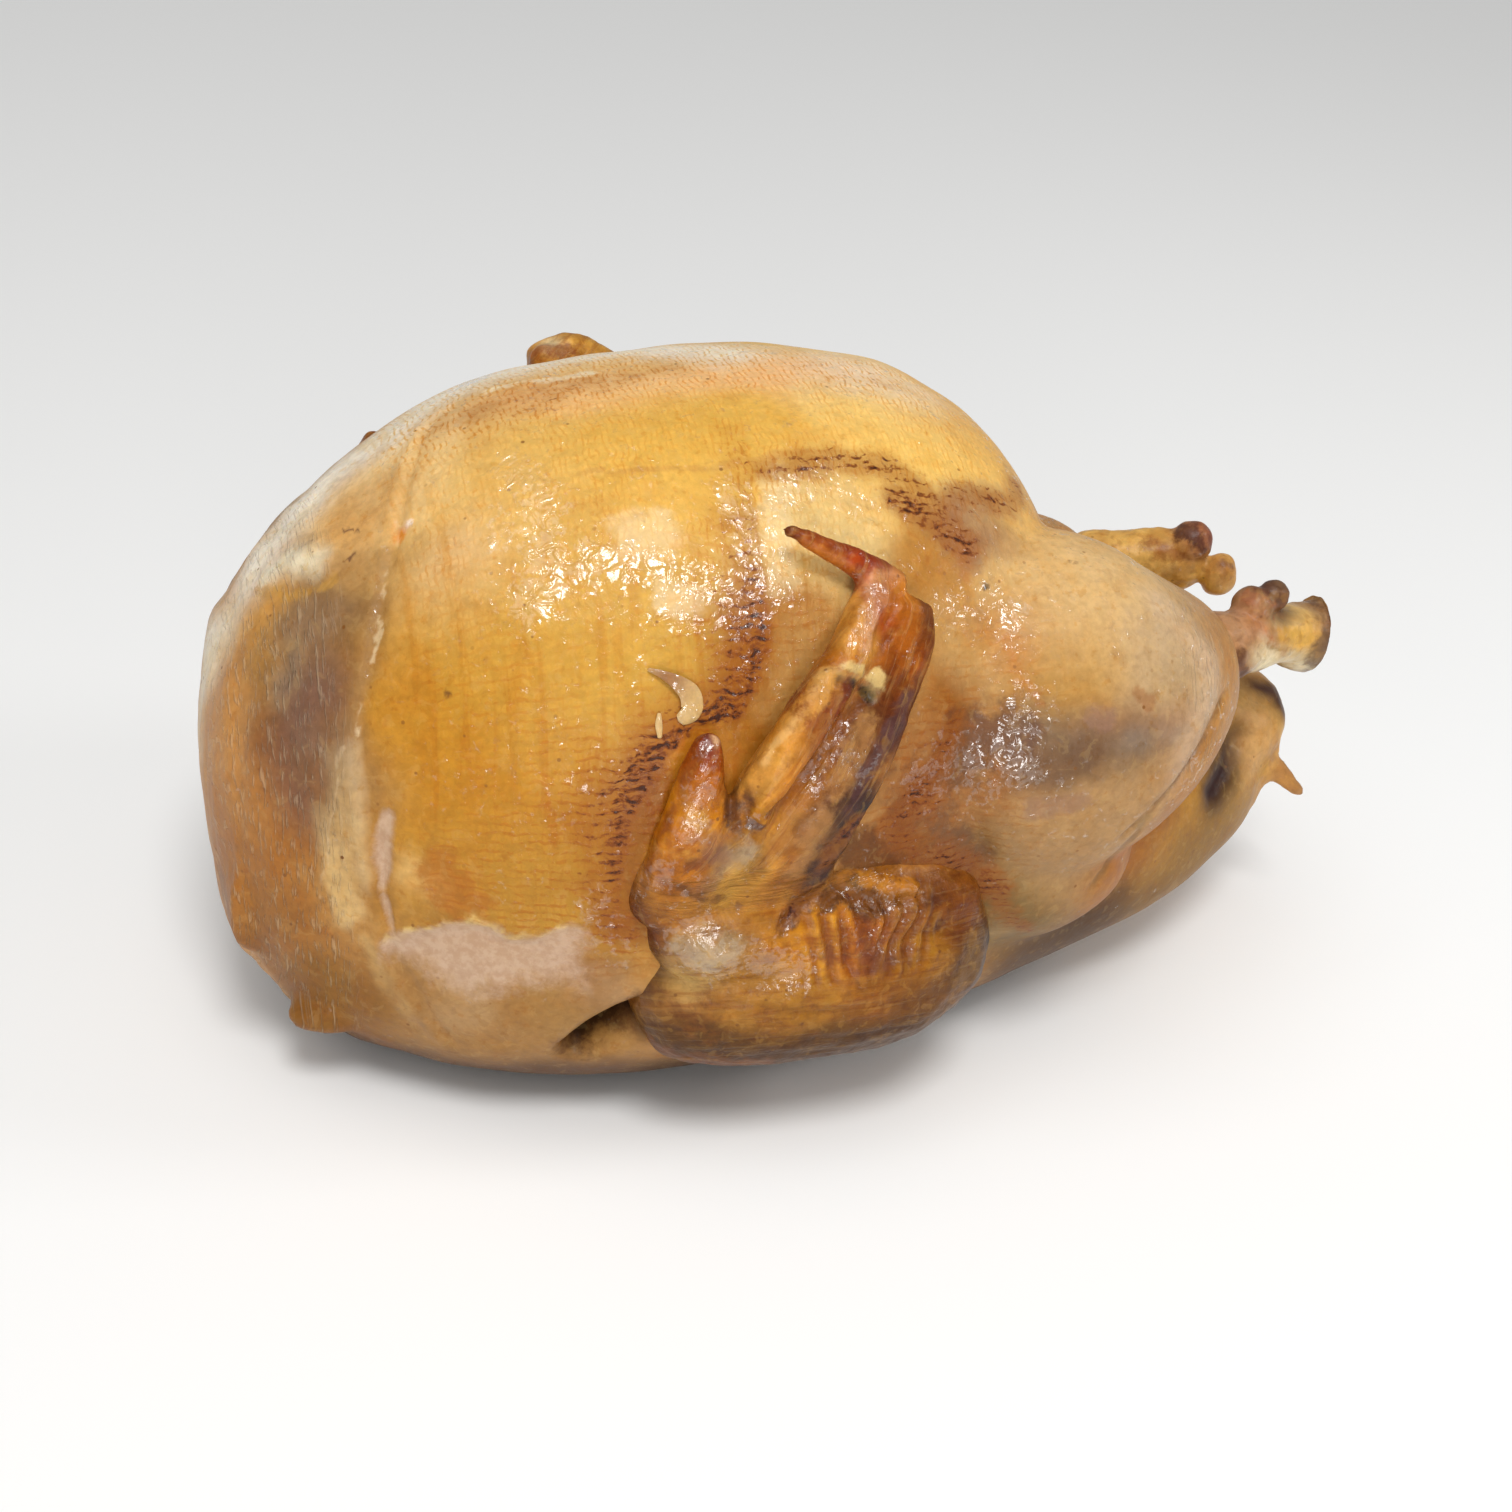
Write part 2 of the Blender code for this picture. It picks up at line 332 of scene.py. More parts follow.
# limbs: x, distance from the middle plane, z, half width, half thickness
thighStations = (
    (90, 50, 96, 20, 24), (76, 54, 83, 30, 33), (60, 56, 75, 34, 37),
    (40, 57, 85, 36, 37), (16, 56, 104, 32, 31),
)
nearDrumstick = (
    (8, 54, 112, 28, 24), (32, 57, 121, 48, 38), (64, 57, 124, 54, 43),
    (95, 50, 125, 41, 38), (118, 43, 127, 24, 24), (129, 39, 128, 17, 16),
)
farDrumstick = (
    (8, 54, 80, 28, 24), (32, 57, 89, 48, 38), (64, 57, 92, 54, 43),
    (95, 50, 103, 43, 38), (112, 44, 112, 26, 25), (126, 39, 121, 15, 14),
)
upperWing = (
    (-74, 80, 60, 26, 15), (-54, 90, 64, 31, 20), (-20, 93, 66, 33, 22),
    (14, 90, 63, 29, 21), (38, 84, 56, 16, 15),
)
forearm = (
    (34, 84, 70, 15, 14), (6, 91, 79, 20, 17), (-28, 96, 84, 21, 17),
    (-56, 97, 89, 20, 15), (-74, 96, 94, 14, 12),
)
handPlate = (
    (-36, 103, 95, 16, 6), (-38, 104, 112, 19, 6), (-34, 103, 128, 19, 5.5),
    (-25, 100, 141, 18, 5), (-15, 94.5, 156, 15.5, 4.5), (-5, 87.5, 168, 11.5, 5),
    (-4, 81, 180, 10, 5),
)
handRidge = (
    (-55, 101, 104, 9, 8), (-49, 104, 126, 7, 7.5), (-40, 103, 143, 6.5, 7), (-30, 98, 157, 6.5, 7),
    (-21, 92, 168, 5.5, 6), (-13, 83, 179, 5, 5.5), (-8, 79, 183, 5.5, 5),
)
wingTip = (
    (-3, 80, 177, 7.5, 5.5), (-10, 78, 184, 5.5, 4.2), (-16, 76.5, 188, 4, 3.3),
    (-23, 75, 191, 3.2, 2.8), (-31, 73, 195, 2.5, 2.2), (-36, 72, 197, 1.7, 1.6),
)
thumb = (
    (-66, 97, 86, 17, 11), (-63, 101, 105, 15, 10), (-63, 103, 120, 11.5, 8.5),
    (-62.5, 102, 134, 7.6, 6.6), (-61, 100, 145, 4.8, 4.8), (-60, 99, 151, 3, 3),
)
farWingTip = (
    (-3, 80, 177, 7.5, 5.5), (-12, 78, 184, 6.5, 5.5), (-20, 76.5, 188.5, 6, 5),
    (-27, 75, 190, 5, 4),
)
farTipStations = (
    (-42, 74, 174, 8, 7), (-52, 74, 182, 8.5, 7), (-64, 74, 188, 8, 7), (-77, 74, 185, 5.5, 5),
)
tailStations = ((138, 0, 70, 34, 27), (160, 0, 73, 29, 24), (176, 2, 73, 22, 18), (188, 4, 69, 13, 11))
tailFlap = (
    (168, 11, 68, 11, 7), (176, 15, 66, 8, 6), (182, 18, 62, 4.6, 3.8), (188, 21, 57, 3.2, 3),
    (193, 23, 52.5, 1.6, 1.6),
)
# lobes of loose skin at the foot of the neck: middle, radius
neckLobes = (((-180, -38, 64), (6, 9, 17)), ((-155, -52, 30), (16, 9, 6)))


def trunkForm():
    # upright superellipse sections, each fuller below its widest place
    rows = np.array(trunkStations, float)
    places = np.linspace(rows[0, 0], rows[-1, 0], formLook["trunkRings"])
    x, width, top, bottom, widest = smoothRows(rows, rows[:, 0], places).T[:, :, None]
    upperSide, upperRise = ovalOutline(formLook["upperFullness"])
    lowerSide, lowerRise = ovalOutline(formLook["lowerFullness"])
    side = np.where(upperRise < 0, lowerSide, upperSide)
    height = np.where(upperRise < 0, (widest - bottom) * lowerRise, (top - widest) * upperRise)
    return closedLoft(np.stack([x + 0 * side, width * side, widest + height], axis=-1))


def limbForm(stations, side, shift=(0, 0, 0), away=(0.0, 1.0, 0.35), cutOff=False):
    # oval sections carried along the stations, with a round end at both ends or the last one cut
    stations = np.array(stations, float)
    knots = travelled(stations[:, :3])
    rows = smoothRows(stations, knots, np.linspace(0.0, knots[-1], formLook["limbRings"]))
    centre = rows[:, :3] + shift
    centre[:, 1] *= side
    along = np.gradient(centre, axis=0)
    wide = unit(np.cross(along, np.array(away) * (1.0, side, 1.0)))
    thick = unit(np.cross(wide, along))
    travel = travelled(centre)
    cap = np.minimum(rows[[0, -1], 4], travel[-1] / 2)
    fromEnd = travel / cap[0]
    if not cutOff:
        fromEnd = np.minimum(fromEnd, (travel[-1] - travel) / cap[1])
    rounding = np.sqrt(1.0 - (1.0 - np.clip(fromEnd, 0.02, 1.0)) ** 2)[:, None, None]
    sideways, rise = ovalOutline(2.0)
    widePart = wide[:, None, :] * (rows[:, 3, None] * sideways)[:, :, None]
    thickPart = thick[:, None, :] * (rows[:, 4, None] * rise)[:, :, None]
    return closedLoft(centre[:, None, :] + rounding * (widePart + thickPart))


def ballForm(centre, radius):
    # a sphere by latitude rings, squashed where the radius differs along x, y and z
    rise = np.linspace(-1.0, 1.0, formLook["ballRings"] + 2)[1:-1, None] * math.pi / 2
    turn = np.linspace(0.0, 2 * math.pi, formLook["ringPoints"], endpoint=False)
    ring = np.stack([np.cos(rise) * np.cos(turn), np.cos(rise) * np.sin(turn),
                     np.sin(rise) + 0 * turn], axis=-1)
    return closedLoft(np.array(centre, float) + ring * radius)


def joinedMesh(name, forms):
    # the forms' points and faces in one mesh, still overlapping, faces turned outwards
    mesh = bpy.data.meshes.new(name)
    whole = bmesh.new()
    for points, faces in forms:
        part = bpy.data.meshes.new("form")
        part.from_pydata(((points - middle) * mm).tolist(), [], faces)
        shell = bmesh.new()
        shell.from_mesh(part)
        bmesh.ops.recalc_face_normals(shell, faces=shell.faces)
        shell.to_mesh(part)
        shell.free()
        whole.from_mesh(part)
        bpy.data.meshes.remove(part)
    whole.to_mesh(mesh)
    whole.free()
    return mesh


def blendedSkin(name, forms, grain, easing):
    # the overlapping forms made one closed skin of even grain, the creases between them eased
    piece = placed(name, joinedMesh(name, forms))
    blend = piece.modifiers.new("blend", "REMESH")
    blend.mode = "VOXEL"
    blend.voxel_size = grain * mm
    ease = piece.modifiers.new("ease", "SMOOTH")
    ease.factor = 0.5
    ease.iterations = easing
    graph = bpy.context.evaluated_depsgraph_get()
    finished = bpy.data.meshes.new_from_object(piece.evaluated_get(graph), depsgraph=graph)
    piece.modifiers.clear()
    rough = piece.data
    piece.data = finished
    bpy.data.meshes.remove(rough)
    finished.name = name
    finished.shade_smooth()
    return piece


def readMesh(piece):
    # where the mesh's points are, in millimetres, and which way they face
    read = []
    for what in ("co", "normal"):
        values = np.empty(len(piece.data.vertices) * 3)
        piece.data.vertices.foreach_get(what, values)
        read.append(values.reshape(-1, 3))
    return read[0] / mm + middle, read[1]


def writePoints(piece, points):
    # back in metres, and nowhere below the floor
    settled = points - middle
    settled[:, 2] = np.maximum(settled[:, 2], 0.0)
    piece.data.vertices.foreach_set("co", (settled * mm).ravel())
    piece.data.update()


def writeColour(piece, name, colours):
    layer = piece.data.color_attributes.new(name, "FLOAT_COLOR", "POINT")
    full = np.ones((len(colours), 4), np.float32)
    full[:, :3] = colours
    layer.data.foreach_set("color", full.ravel())


wrapHeight = 92.0             # height of the long axis that the skin is wrapped round


def birdWrap(points):
    # millimetres along the bird, and round it from the breast ridge down either side
    turn = np.abs(np.arctan2(points[:, 1], points[:, 2] - wrapHeight))
    return np.stack([points[:, 0], 100.0 * turn], axis=-1)


def finishPiece(piece, wrap, material):
    # the wrap that patterns follow, the material, and what the frame keeps about the piece
    corner = np.empty(len(piece.data.loops), np.int32)
    piece.data.loops.foreach_get("vertex_index", corner)
    layer = piece.data.uv_layers.new(name="skinWrap")
    layer.data.foreach_set("uv", wrap[corner].astype(np.float32).ravel())
    piece.data.materials.append(material)
    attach(piece, "root")
    print(piece.name + ":", len(piece.data.polygons), "faces")


def mixedTint(points, base, dabs, wander=7.0):
    # colours laid as soft dabs over a base, both sides alike; wander makes the edges uneven
    places = points + wander * drift(points, 1, (1.0, 26.0, 0), (0.5, 11.0, 9))
    bothSides = folded(places)
    weight = np.full(len(points), 0.02)
    total = weight[:, None] * linear(base)
    for colour, centre, radius in dabs.values():
        strength = dab(bothSides if centre[1] < 0 else places, centre, radius)
        total += strength[:, None] * linear(colour)
        weight += strength
    return total / weight[:, None]


def isLink(value):
    return hasattr(value, "outputs") or isinstance(value, bpy.types.NodeSocket)


def feed(tree, slot, value):
    # a value, or what a node or one of its sockets gives, into an input
    if isLink(value):
        tree.links.new(value.outputs[0] if hasattr(value, "outputs") else value, slot)
    else:
        slot.default_value = value


def addNode(tree, kind, settings=None, **inputs):
    # a node with its settings; inputs by name, "i0" by index, each a value or what feeds it
    made = tree.nodes.new(kind)
    for key, value in (settings or {}).items():
        setattr(made, key, value)
    for key, value in inputs.items():
        feed(tree, made.inputs[int(key[1:]) if key[0] == "i" and key[1:].isdigit() else key], value)
    return made


def calc(tree, operation, first, second=0.0, third=0.0):
    return addNode(tree, "ShaderNodeMath", {"operation": operation}, i0=first, i1=second, i2=third)


def times(tree, *factors):
    product = factors[0]
    for factor in factors[1:]:
        product = calc(tree, "MULTIPLY", product, factor)
    return product


def plus(tree, value, *parts):
    # the value with parts of others added, each part a pair: what, and how much of it
    for what, share in parts:
        value = calc(tree, "MULTIPLY_ADD", what, share, value)
    return value


def ramp(tree, value, low, high, start=0.0, end=1.0):
    # smooth step of a value between two limits
    made = addNode(tree, "ShaderNodeMapRange", {"interpolation_type": "SMOOTHSTEP"},
                   i0=value, i1=low, i2=high, i3=start, i4=end)
    return made.outputs[0]


def blendColour(tree, amount, under, over, mode="MIX"):
    made = addNode(tree, "ShaderNodeMix", {"data_type": "RGBA", "blend_type": mode},
                   i0=amount, i6=under, i7=over)
    return made.outputs[2]


def flecks(tree, vector, size, detail=2.0, roughness=0.55, distortion=0.0):
    # noise whose features are about the given size, in the vector's own unit
    return addNode(tree, "ShaderNodeTexNoise", {"noise_dimensions": "3D"}, Vector=vector,
                   Scale=1.0 / size, Detail=detail, Roughness=roughness,
                   Distortion=distortion).outputs[0]


def rgba(colour):
    # a colour in hex, or a tint in linear numbers, as a shader takes it
    return (*(linear(colour) if isinstance(colour, str) else colour), 1.0)


def painted(tree, name):
    return addNode(tree, "ShaderNodeAttribute", {"attribute_name": name}).outputs["Color"]


def paintedChannels(tree, name):
    # the three channels of a colour painted on the mesh
    return tuple(addNode(tree, "ShaderNodeSeparateColor", i0=painted(tree, name)).outputs)


# noises that the skin's patterns are cut from: size in millimetres, detail, roughness, distortion
skinNoises = {
    "coarse": (13.0, 4.0, 0.6),
    "fine": (2.8, 5.0, 0.62),
    "grit": (0.9, 2.0),
    "ragged": (6.0, 6.0, 0.7, 0.3),
    "amber": (3.4, 4.0, 0.6),
    "crisp": (4.6, 3.0, 0.55, 0.8),
}


def roastMaterial(name, look):
    # oily roast skin: painted tint and stains, net marks, scorching, bare meat, dots and wet film
    material = bpy.data.materials.new(name)
    material.use_nodes = True
    tree = material.node_tree
    shader = tree.nodes["Principled BSDF"]
    texture = addNode(tree, "ShaderNodeTexCoord")
    place = addNode(tree, "ShaderNodeVectorMath", {"operation": "SCALE"},
                    i0=texture.outputs["Object"], Scale=1.0 / mm).outputs[0]
    wrap = addNode(tree, "ShaderNodeUVMap", {"uv_map": "skinWrap"}).outputs[0]
    tint = painted(tree, "tint")
    stain = painted(tree, "stain")
    inside, amount, _ = paintedChannels(tree, "inside")
    char, net, freckle = paintedChannels(tree, "marks")
    torn, film, wrinkle = paintedChannels(tree, "lay")
    veil, streaky, _ = paintedChannels(tree, "veil")
    coarse, fine, grit, ragged, amber, crisp = (flecks(tree, place, *kind)
                                                for kind in skinNoises.values())

    # a knitted net: threads along and round the bird, and short dashes along them
    swaySize, swayReach = look["netSway"]
    sway = addNode(tree, "ShaderNodeTexNoise", Vector=place, Scale=1.0 / swaySize, Detail=2.0)
    sway = addNode(tree, "ShaderNodeVectorMath", {"operation": "SCALE"}, i0=sway.outputs["Color"],
                   Scale=swayReach)
    laid = addNode(tree, "ShaderNodeVectorMath", {"operation": "ADD"}, i0=wrap, i1=sway.outputs[0])
    split = addNode(tree, "ShaderNodeSeparateXYZ", i0=laid.outputs[0])
    threads = []
    for axis, pitch in ((1, look["rowPitch"]), (0, look["columnPitch"])):
        turned = times(tree, split.outputs[axis], 2 * math.pi / pitch)
        threads.append(ramp(tree, calc(tree, "SINE", turned), 0.0, 0.95))
    rows = times(tree, threads[0], ramp(tree, split.outputs[1], 25.0, 110.0, 0.3, 1.0))
    columns = times(tree, threads[1], ramp(tree, split.outputs[1], 30.0, 90.0, 1.0, 0.35))
    threading = calc(tree, "MAXIMUM", rows, columns)
    netting = times(tree, threading, ramp(tree, fine, 0.42, 0.58, 0.05, 1.0), net)
    drawn = []
    for vector, (across, along), tilt, detail, distortion in (
            (laid.outputs[0], look["dash"], look["dashTilt"], 3.0, 0.0),
            (wrap, look["streak"], 0.0, 4.0, 0.3), (wrap, look["strand"], 0.0, 3.0, 0.3)):
        stretched = addNode(tree, "ShaderNodeMapping", Vector=vector, Rotation=(0.0, 0.0, tilt),
                            Scale=(1.0 / across, 1.0 / along, 1.0))
        drawn.append(flecks(tree, stretched, 1.0, detail, 0.6, distortion))
    dashing, streak, strands = drawn
    strand = times(tree, ramp(tree, strands, 0.52, 0.66), veil)

    def covered(colour, *layers):
        # the colour under layers, each with where it lies, how strongly, its colour and its mode
        for cover, share, tone, mode in layers:
            colour = blendColour(tree, times(tree, cover, share), colour, rgba(look[tone]), mode)
        return colour

    colour = covered(tint, (ramp(tree, coarse, 0.48, 0.66), look["mottle"], "deepTint", "MULTIPLY"),
                     (ramp(tree, coarse, 0.50, 0.34), look["mottle"], "paleTint", "MULTIPLY"),
                     (ramp(tree, streak, 0.50, 0.66), streaky, "streakTint", "MULTIPLY"),
                     (ramp(tree, amber, 0.58, 0.68), look["amber"], "amberTint", "MULTIPLY"))
    edge = plus(tree, inside, (ragged, look["ragged"]))
    edge = calc(tree, "SUBTRACT", edge, 0.5 * look["ragged"])
    coat = times(tree, ramp(tree, edge, 0.2, 0.85), ramp(tree, inside, 0.0, 0.35), amount)
    colour = blendColour(tree, coat, colour, stain)
    shade = ramp(tree, fine, 0.32, 0.68, 1.0 - look["grain"], 1.0 + look["grain"])
    grey = addNode(tree, "ShaderNodeCombineColor", i0=shade, i1=shade, i2=shade)
    colour = blendColour(tree, 1.0, colour, grey, "MULTIPLY")
    colour = covered(colour, (ramp(tree, crisp, 0.55, 0.64), look["darkFlecks"], "darkTint", "MULTIPLY"),
                     (ramp(tree, crisp, 0.44, 0.35), look["paleFlecks"], "fleckColour", "MIX"),
                     (netting, look["netStrength"], "netTint", "MULTIPLY"),
                     (strand, look["strandStrength"], "strandColour", "MIX"))

    # scorching: an orange-brown halo, then dark strokes along the net's cells
    field = plus(tree, calc(tree, "SUBTRACT", char, 0.35), (coarse, 0.7))
    halo = plus(tree, calc(tree, "SUBTRACT", field, 0.4), (fine, 0.8))
    colour = covered(colour, (ramp(tree, halo, 0.1, 0.7), look["haloStrength"], "haloColour", "MIX"))
    dashes = plus(tree, field, (dashing, look["charBreak"]))
    dashes = calc(tree, "SUBTRACT", dashes, 0.5 * look["charBreak"])
    dashes = plus(tree, dashes, (threads[0], look["rowDash"]))
    scorched = ramp(tree, char, 0.06, 0.25)
    for tone, start in (("scorchColour", 0.0), ("charColour", look["charStep"])):
        low = look["charFrom"] + start
        burn = times(tree, ramp(tree, dashes, low, low + look["charEdge"]), scorched)
        colour = covered(colour, (burn, look["charStrength"], tone, "MIX"))

    # brown follicle dots
    gap = look["freckleGap"]
    dots = addNode(tree, "ShaderNodeTexVoronoi", {"feature": "F1"}, Vector=place, Scale=1.0 / gap)
    dot = ramp(tree, dots.outputs["Distance"], 0.75 / gap, 0.35 / gap)
    chosen = addNode(tree, "ShaderNodeSeparateColor", i0=dots.outputs["Color"])
    dot = times(tree, dot, ramp(tree, chosen.outputs[0], 0.35, 0.7))
    colour = covered(colour, (dot, freckle, "freckleColour", "MIX"))

    # bare meat where the skin is torn
    bare = ramp(tree, plus(tree, calc(tree, "SUBTRACT", torn, 0.3), (ragged, 0.6)), 0.36, 0.76)
    meat = blendColour(tree, ramp(tree, fine, 0.38, 0.62), rgba(look["meatColour"]),
                       rgba(look["meatPale"]))
    colour = blendColour(tree, times(tree, bare, look["meatStrength"]), colour, meat)

    # low relief of the skin, and the puckered film of juice that lies on it
    pucker = ramp(tree, flecks(tree, place, look["puckerSize"], 1.5, 0.5, 0.9), 0.3, 0.7)
    heights = times(tree, pucker, plus(tree, 0.02, (wrinkle, look["skinHeight"])))
    heights = plus(tree, heights, (fine, look["fineHeight"]), (grit, look["gritHeight"]),
                   (netting, look["netHeight"]), (burn, look["burnHeight"]),
                   (bare, look["bareHeight"]), (strand, look["strandHeight"]))
    relief, filmRelief = (
        addNode(tree, "ShaderNodeBump", Strength=1.0, Distance=mm, Height=height)
        for height in (heights, plus(tree, heights, (pucker, look["puckerHeight"]))))
    droplets = flecks(tree, place, look["dropletSize"], 2.0, 0.6, 0.8)
    wet = plus(tree, times(tree, film, 0.5), (droplets, 1.4))
    for slot, value in (
            ("Base Color", colour),
            ("Normal", relief),
            ("Roughness", plus(tree, look["roughness"], (fine, 0.2))),
            ("Specular IOR Level", look["gloss"]),
            ("Coat Normal", filmRelief),
            ("Coat Weight", ramp(tree, wet, 0.96, 1.08, look["coat"], 1.0)),
            ("Coat Roughness", look["coatRoughness"]),
            ("Coat IOR", look["coatIor"]),
            ("Subsurface Weight", look["subsurface"]),
            ("Subsurface Radius", look["subsurfaceRadius"]),
            ("Subsurface Scale", look["subsurfaceScale"])):
        feed(tree, shader.inputs[slot], value)
    return material


breastLook = {
    "rowPitch": 3.0, "columnPitch": 1.9, "dash": (2.7, 1.3), "dashTilt": 0.25, "netSway": (7.0, 5.0),
    "netStrength": 1.0, "netTint": (0.82, 0.62, 0.34), "netHeight": 0.08,
    "mottle": 0.45, "deepTint": (0.92, 0.80, 0.58), "paleTint": (1.05, 1.09, 1.22),
    "streakTint": (0.90, 0.74, 0.42), "amber": 0.5, "amberTint": (0.88, 0.70, 0.38),
    "grain": 0.09, "ragged": 1.7, "darkFlecks": 0.12, "darkTint": (0.42, 0.26, 0.16),
    "paleFlecks": 0.08, "fleckColour": "e2bd78",
    "streak": (4.0, 50.0), "strand": (0.9, 12.0), "strandColour": "e2c9a4", "strandStrength": 0.2,
    "haloStrength": 0.6, "haloColour": "904e0a", "scorchColour": "7a3c08",
    "charStrength": 0.92, "charColour": "361404",
    "charFrom": 0.72, "charStep": 0.26, "charBreak": 1.9, "charEdge": 0.28, "rowDash": 0.22,
    "freckleGap": 6.5, "freckleColour": "7a4a1c",
    "meatColour": "b8967a", "meatPale": "c4a68c", "meatStrength": 0.85,
    "puckerSize": 4.4, "skinHeight": 0.08, "puckerHeight": 0.45, "fineHeight": 0.10,
    "gritHeight": 0.03, "burnHeight": -0.15, "bareHeight": -0.25, "strandHeight": 0.3,
    "dropletSize": 2.6, "roughness": 0.34, "gloss": 0.2,
    "coat": 0.03, "coatRoughness": 0.07, "coatIor": 1.75,
    "subsurface": 0.08, "subsurfaceRadius": (1.0, 0.5, 0.2), "subsurfaceScale": 0.003,
}
wingLook = dict(
    breastLook, netStrength=0.0, mottle=0.5, deepTint=(0.78, 0.62, 0.40),
    paleTint=(1.22, 1.22, 1.12), streakTint=(0.66, 0.46, 0.26), grain=0.12, ragged=2.2,
    streak=(2.6, 16.0), strand=(2.2, 18.0), strandColour="d8a55a", strandStrength=0.35,
    darkFlecks=0.3, paleFlecks=0.12, fleckColour="cf9c4c", dash=(3.0, 3.0),
    haloColour="8e5214", scorchColour="5a260a", charColour="1e0b06", charFrom=0.60,
    charStep=0.14, charBreak=1.4, rowDash=0.0, freckleGap=6.0, freckleColour="5c3014",
    puckerSize=6.5, puckerHeight=0.55, fineHeight=0.3, gritHeight=0.05, roughness=0.24,
    coat=0.0, gloss=0.22, subsurface=0.04)

# grain is the skin's cell in millimetres, easing how often its creases are smoothed; wander is how
# uneven the edges of stains are, and farWander how unevenly the far side mirrors the near one
bodyLook = {
    "grain": 1.85,
    "easing": 15,
    "base": "b98444",
    "wander": 1.6,
    "farWander": 9.0,
}

# colour, place, radius; a place on the near side (y below 0) also colours the far side
bodyDabs = {
    "keelPale": ("ffd89a", (-58, 12, 210), 20),
    "keelNeck": ("f5d094", (-128, -2, 192), 22),
    "keelNet": ("f0b878", (-58, -2, 210), (60, 9, 14)),
    "keelRear": ("f4dfc4", (14, 2, 212), 20),
    "upperBreast": ("daa848", (-58, -30, 206), 26),
    "upperFront": ("dcae5c", (-108, -32, 190), 24),
    "breastGold": ("c8983a", (-93, -72, 165), 28),
    "breastMid": ("b87c1a", (-113, -82, 130), 26),
    "breastOrange": ("b27612", (-86, -100, 125), 20),
    "breastLow": ("b28028", (-108, -92, 100), 22),
    "rearTop": ("eabe64", (22, -27, 204), 26),
    "rearPale": ("dfaa56", (50, -22, 190), 22),
    "rearFall": ("86480a", (70, -12, 168), 18),
    "valleyCream": ("dcb46c", (-18, -70, 190), 15),
    "valleyPale": ("9a5c0c", (-36, -88, 160), 13),
    "valleyLow": ("964a02", (-64, -102, 125), 10),
    "scorched": ("b86804", (-64, -96, 146), 9),
    "flapMid": ("926830", (-166, -36, 146), 14),
    "flapPurple": ("704630", (-165, -48, 132), (9, 12, 22)),
    "flapDusk": ("82603c", (-156, -38, 156), 9),
    "flapBrown": ("9e6424", (-176, -48, 88), 20),
    "neckTan": ("be843a", (-141, -12, 180), 10),
    "neckTanLow": ("9e7240", (-143, -30, 172), 7),
    "neckTanTop": ("b28042", (-131, -14, 186), 7),
    "flapTan": ("c6904a", (-171, -20, 151), 10),
    "flapLeft": ("ba8244", (-184, -22, 110), 20),
    "flapFat": ("c49f6e", (-160, -12, 165), 6),
    "flapRight": ("9e743e", (-150, -66, 118), 12),
    "creaseTan": ("9e6c2a", (-145, -72, 95), 9),
    "creaseTop": ("b98c4c", (-136, -38, 176), 9),
    "lowBreast": ("9b703a", (-116, -86, 40), 24),
    "lowShoulder": ("9c723a", (-96, -96, 50), 14),
    "bellyCream": ("b08c60", (-124, -84, 54), 10),
    "bellyLeft": ("825410", (-154, -62, 42), 11),
    "bellyMid": ("9c703a", (-139, -76, 58), 8),
    "flapLowLeft": ("905e26", (-172, -54, 68), 10),
    "flapFolds": ("b07e3e", (-157, -66, 82), 9),
    "padWhite": ("8a6440", (-84, -99, 68), 6),
    # painted shade: the underside darkened as if in shadow
    "undersideShade": ("301a08", (-58, -42, 0), (110, 70, 16)),
    "thighUpper": ("d2ac74", (62, -68, 172), 22),
    "thighGold": ("ac7e3a", (47, -86, 156), 18),
    "thighMid": ("ae9068", (87, -86, 150), 18),
    "thighStreak": ("966440", (68, -99, 136), (26, 14, 7)),
    "thighBrown": ("986432", (14, -97, 120), (13, 14, 16)),
    "thighLowPale": ("a67f50", (62, -94, 100), 22),
    "thighRight": ("b0804c", (114, -68, 136), 18),
    "thighHem": ("804605", (102, -86, 116), 14),
    # a cream strip low on the thigh, darkened with painted shade
    "thighLowCreamShaded": ("6a5220", (42, -94, 72), 16),
    "junctionPlum": ("8a6048", (28, -56, 188), (14, 8, 6)),
    "junctionGold": ("a66c1e", (10, -68, 184), 9),
    "rump": ("a4620e", (102, -82, 80), 20),
    # painted shade low on the thigh and under the rump
    "thighFootShade": ("62400c", (20, -98, 90), 11),
    "rumpUnderShade": ("4a2c04", (80, -68, 42), 17),
    "rumpLow": ("845c14", (132, -52, 50), 22),
    "tailGold": ("dca854", (160, -18, 80), 14),
    "tailTop": ("9a703c", (152, -2, 86), 16),
    "between": ("97713e", (112, -2, 112), 22),
    "thighAmber": ("8a4e0c", (20, -85, 148), 8),
    "neckGold": ("dcb482", (-119, -50, 179), 14),
    "valleyFoot": ("8a4a06", (-80, -99, 98), 9),
    "rumpGold": ("c48a30", (123, -54, 74), 10),
    "tailRight": ("8a5c20", (164, -28, 74), 8),
    "thighFlank": ("b4742a", (32, -78, 161), 9),
    # painted shade along the rump's lower edge
    "rumpEdgeShade": ("4a2c06", (97, -65, 45), (24, 10, 8)),
    # pale skin at the neck end's edge, with a painted rim reflection of the white surroundings
    "rimPaleReflection": ("f4ecd8", (-184, 8, 128), 12),
}

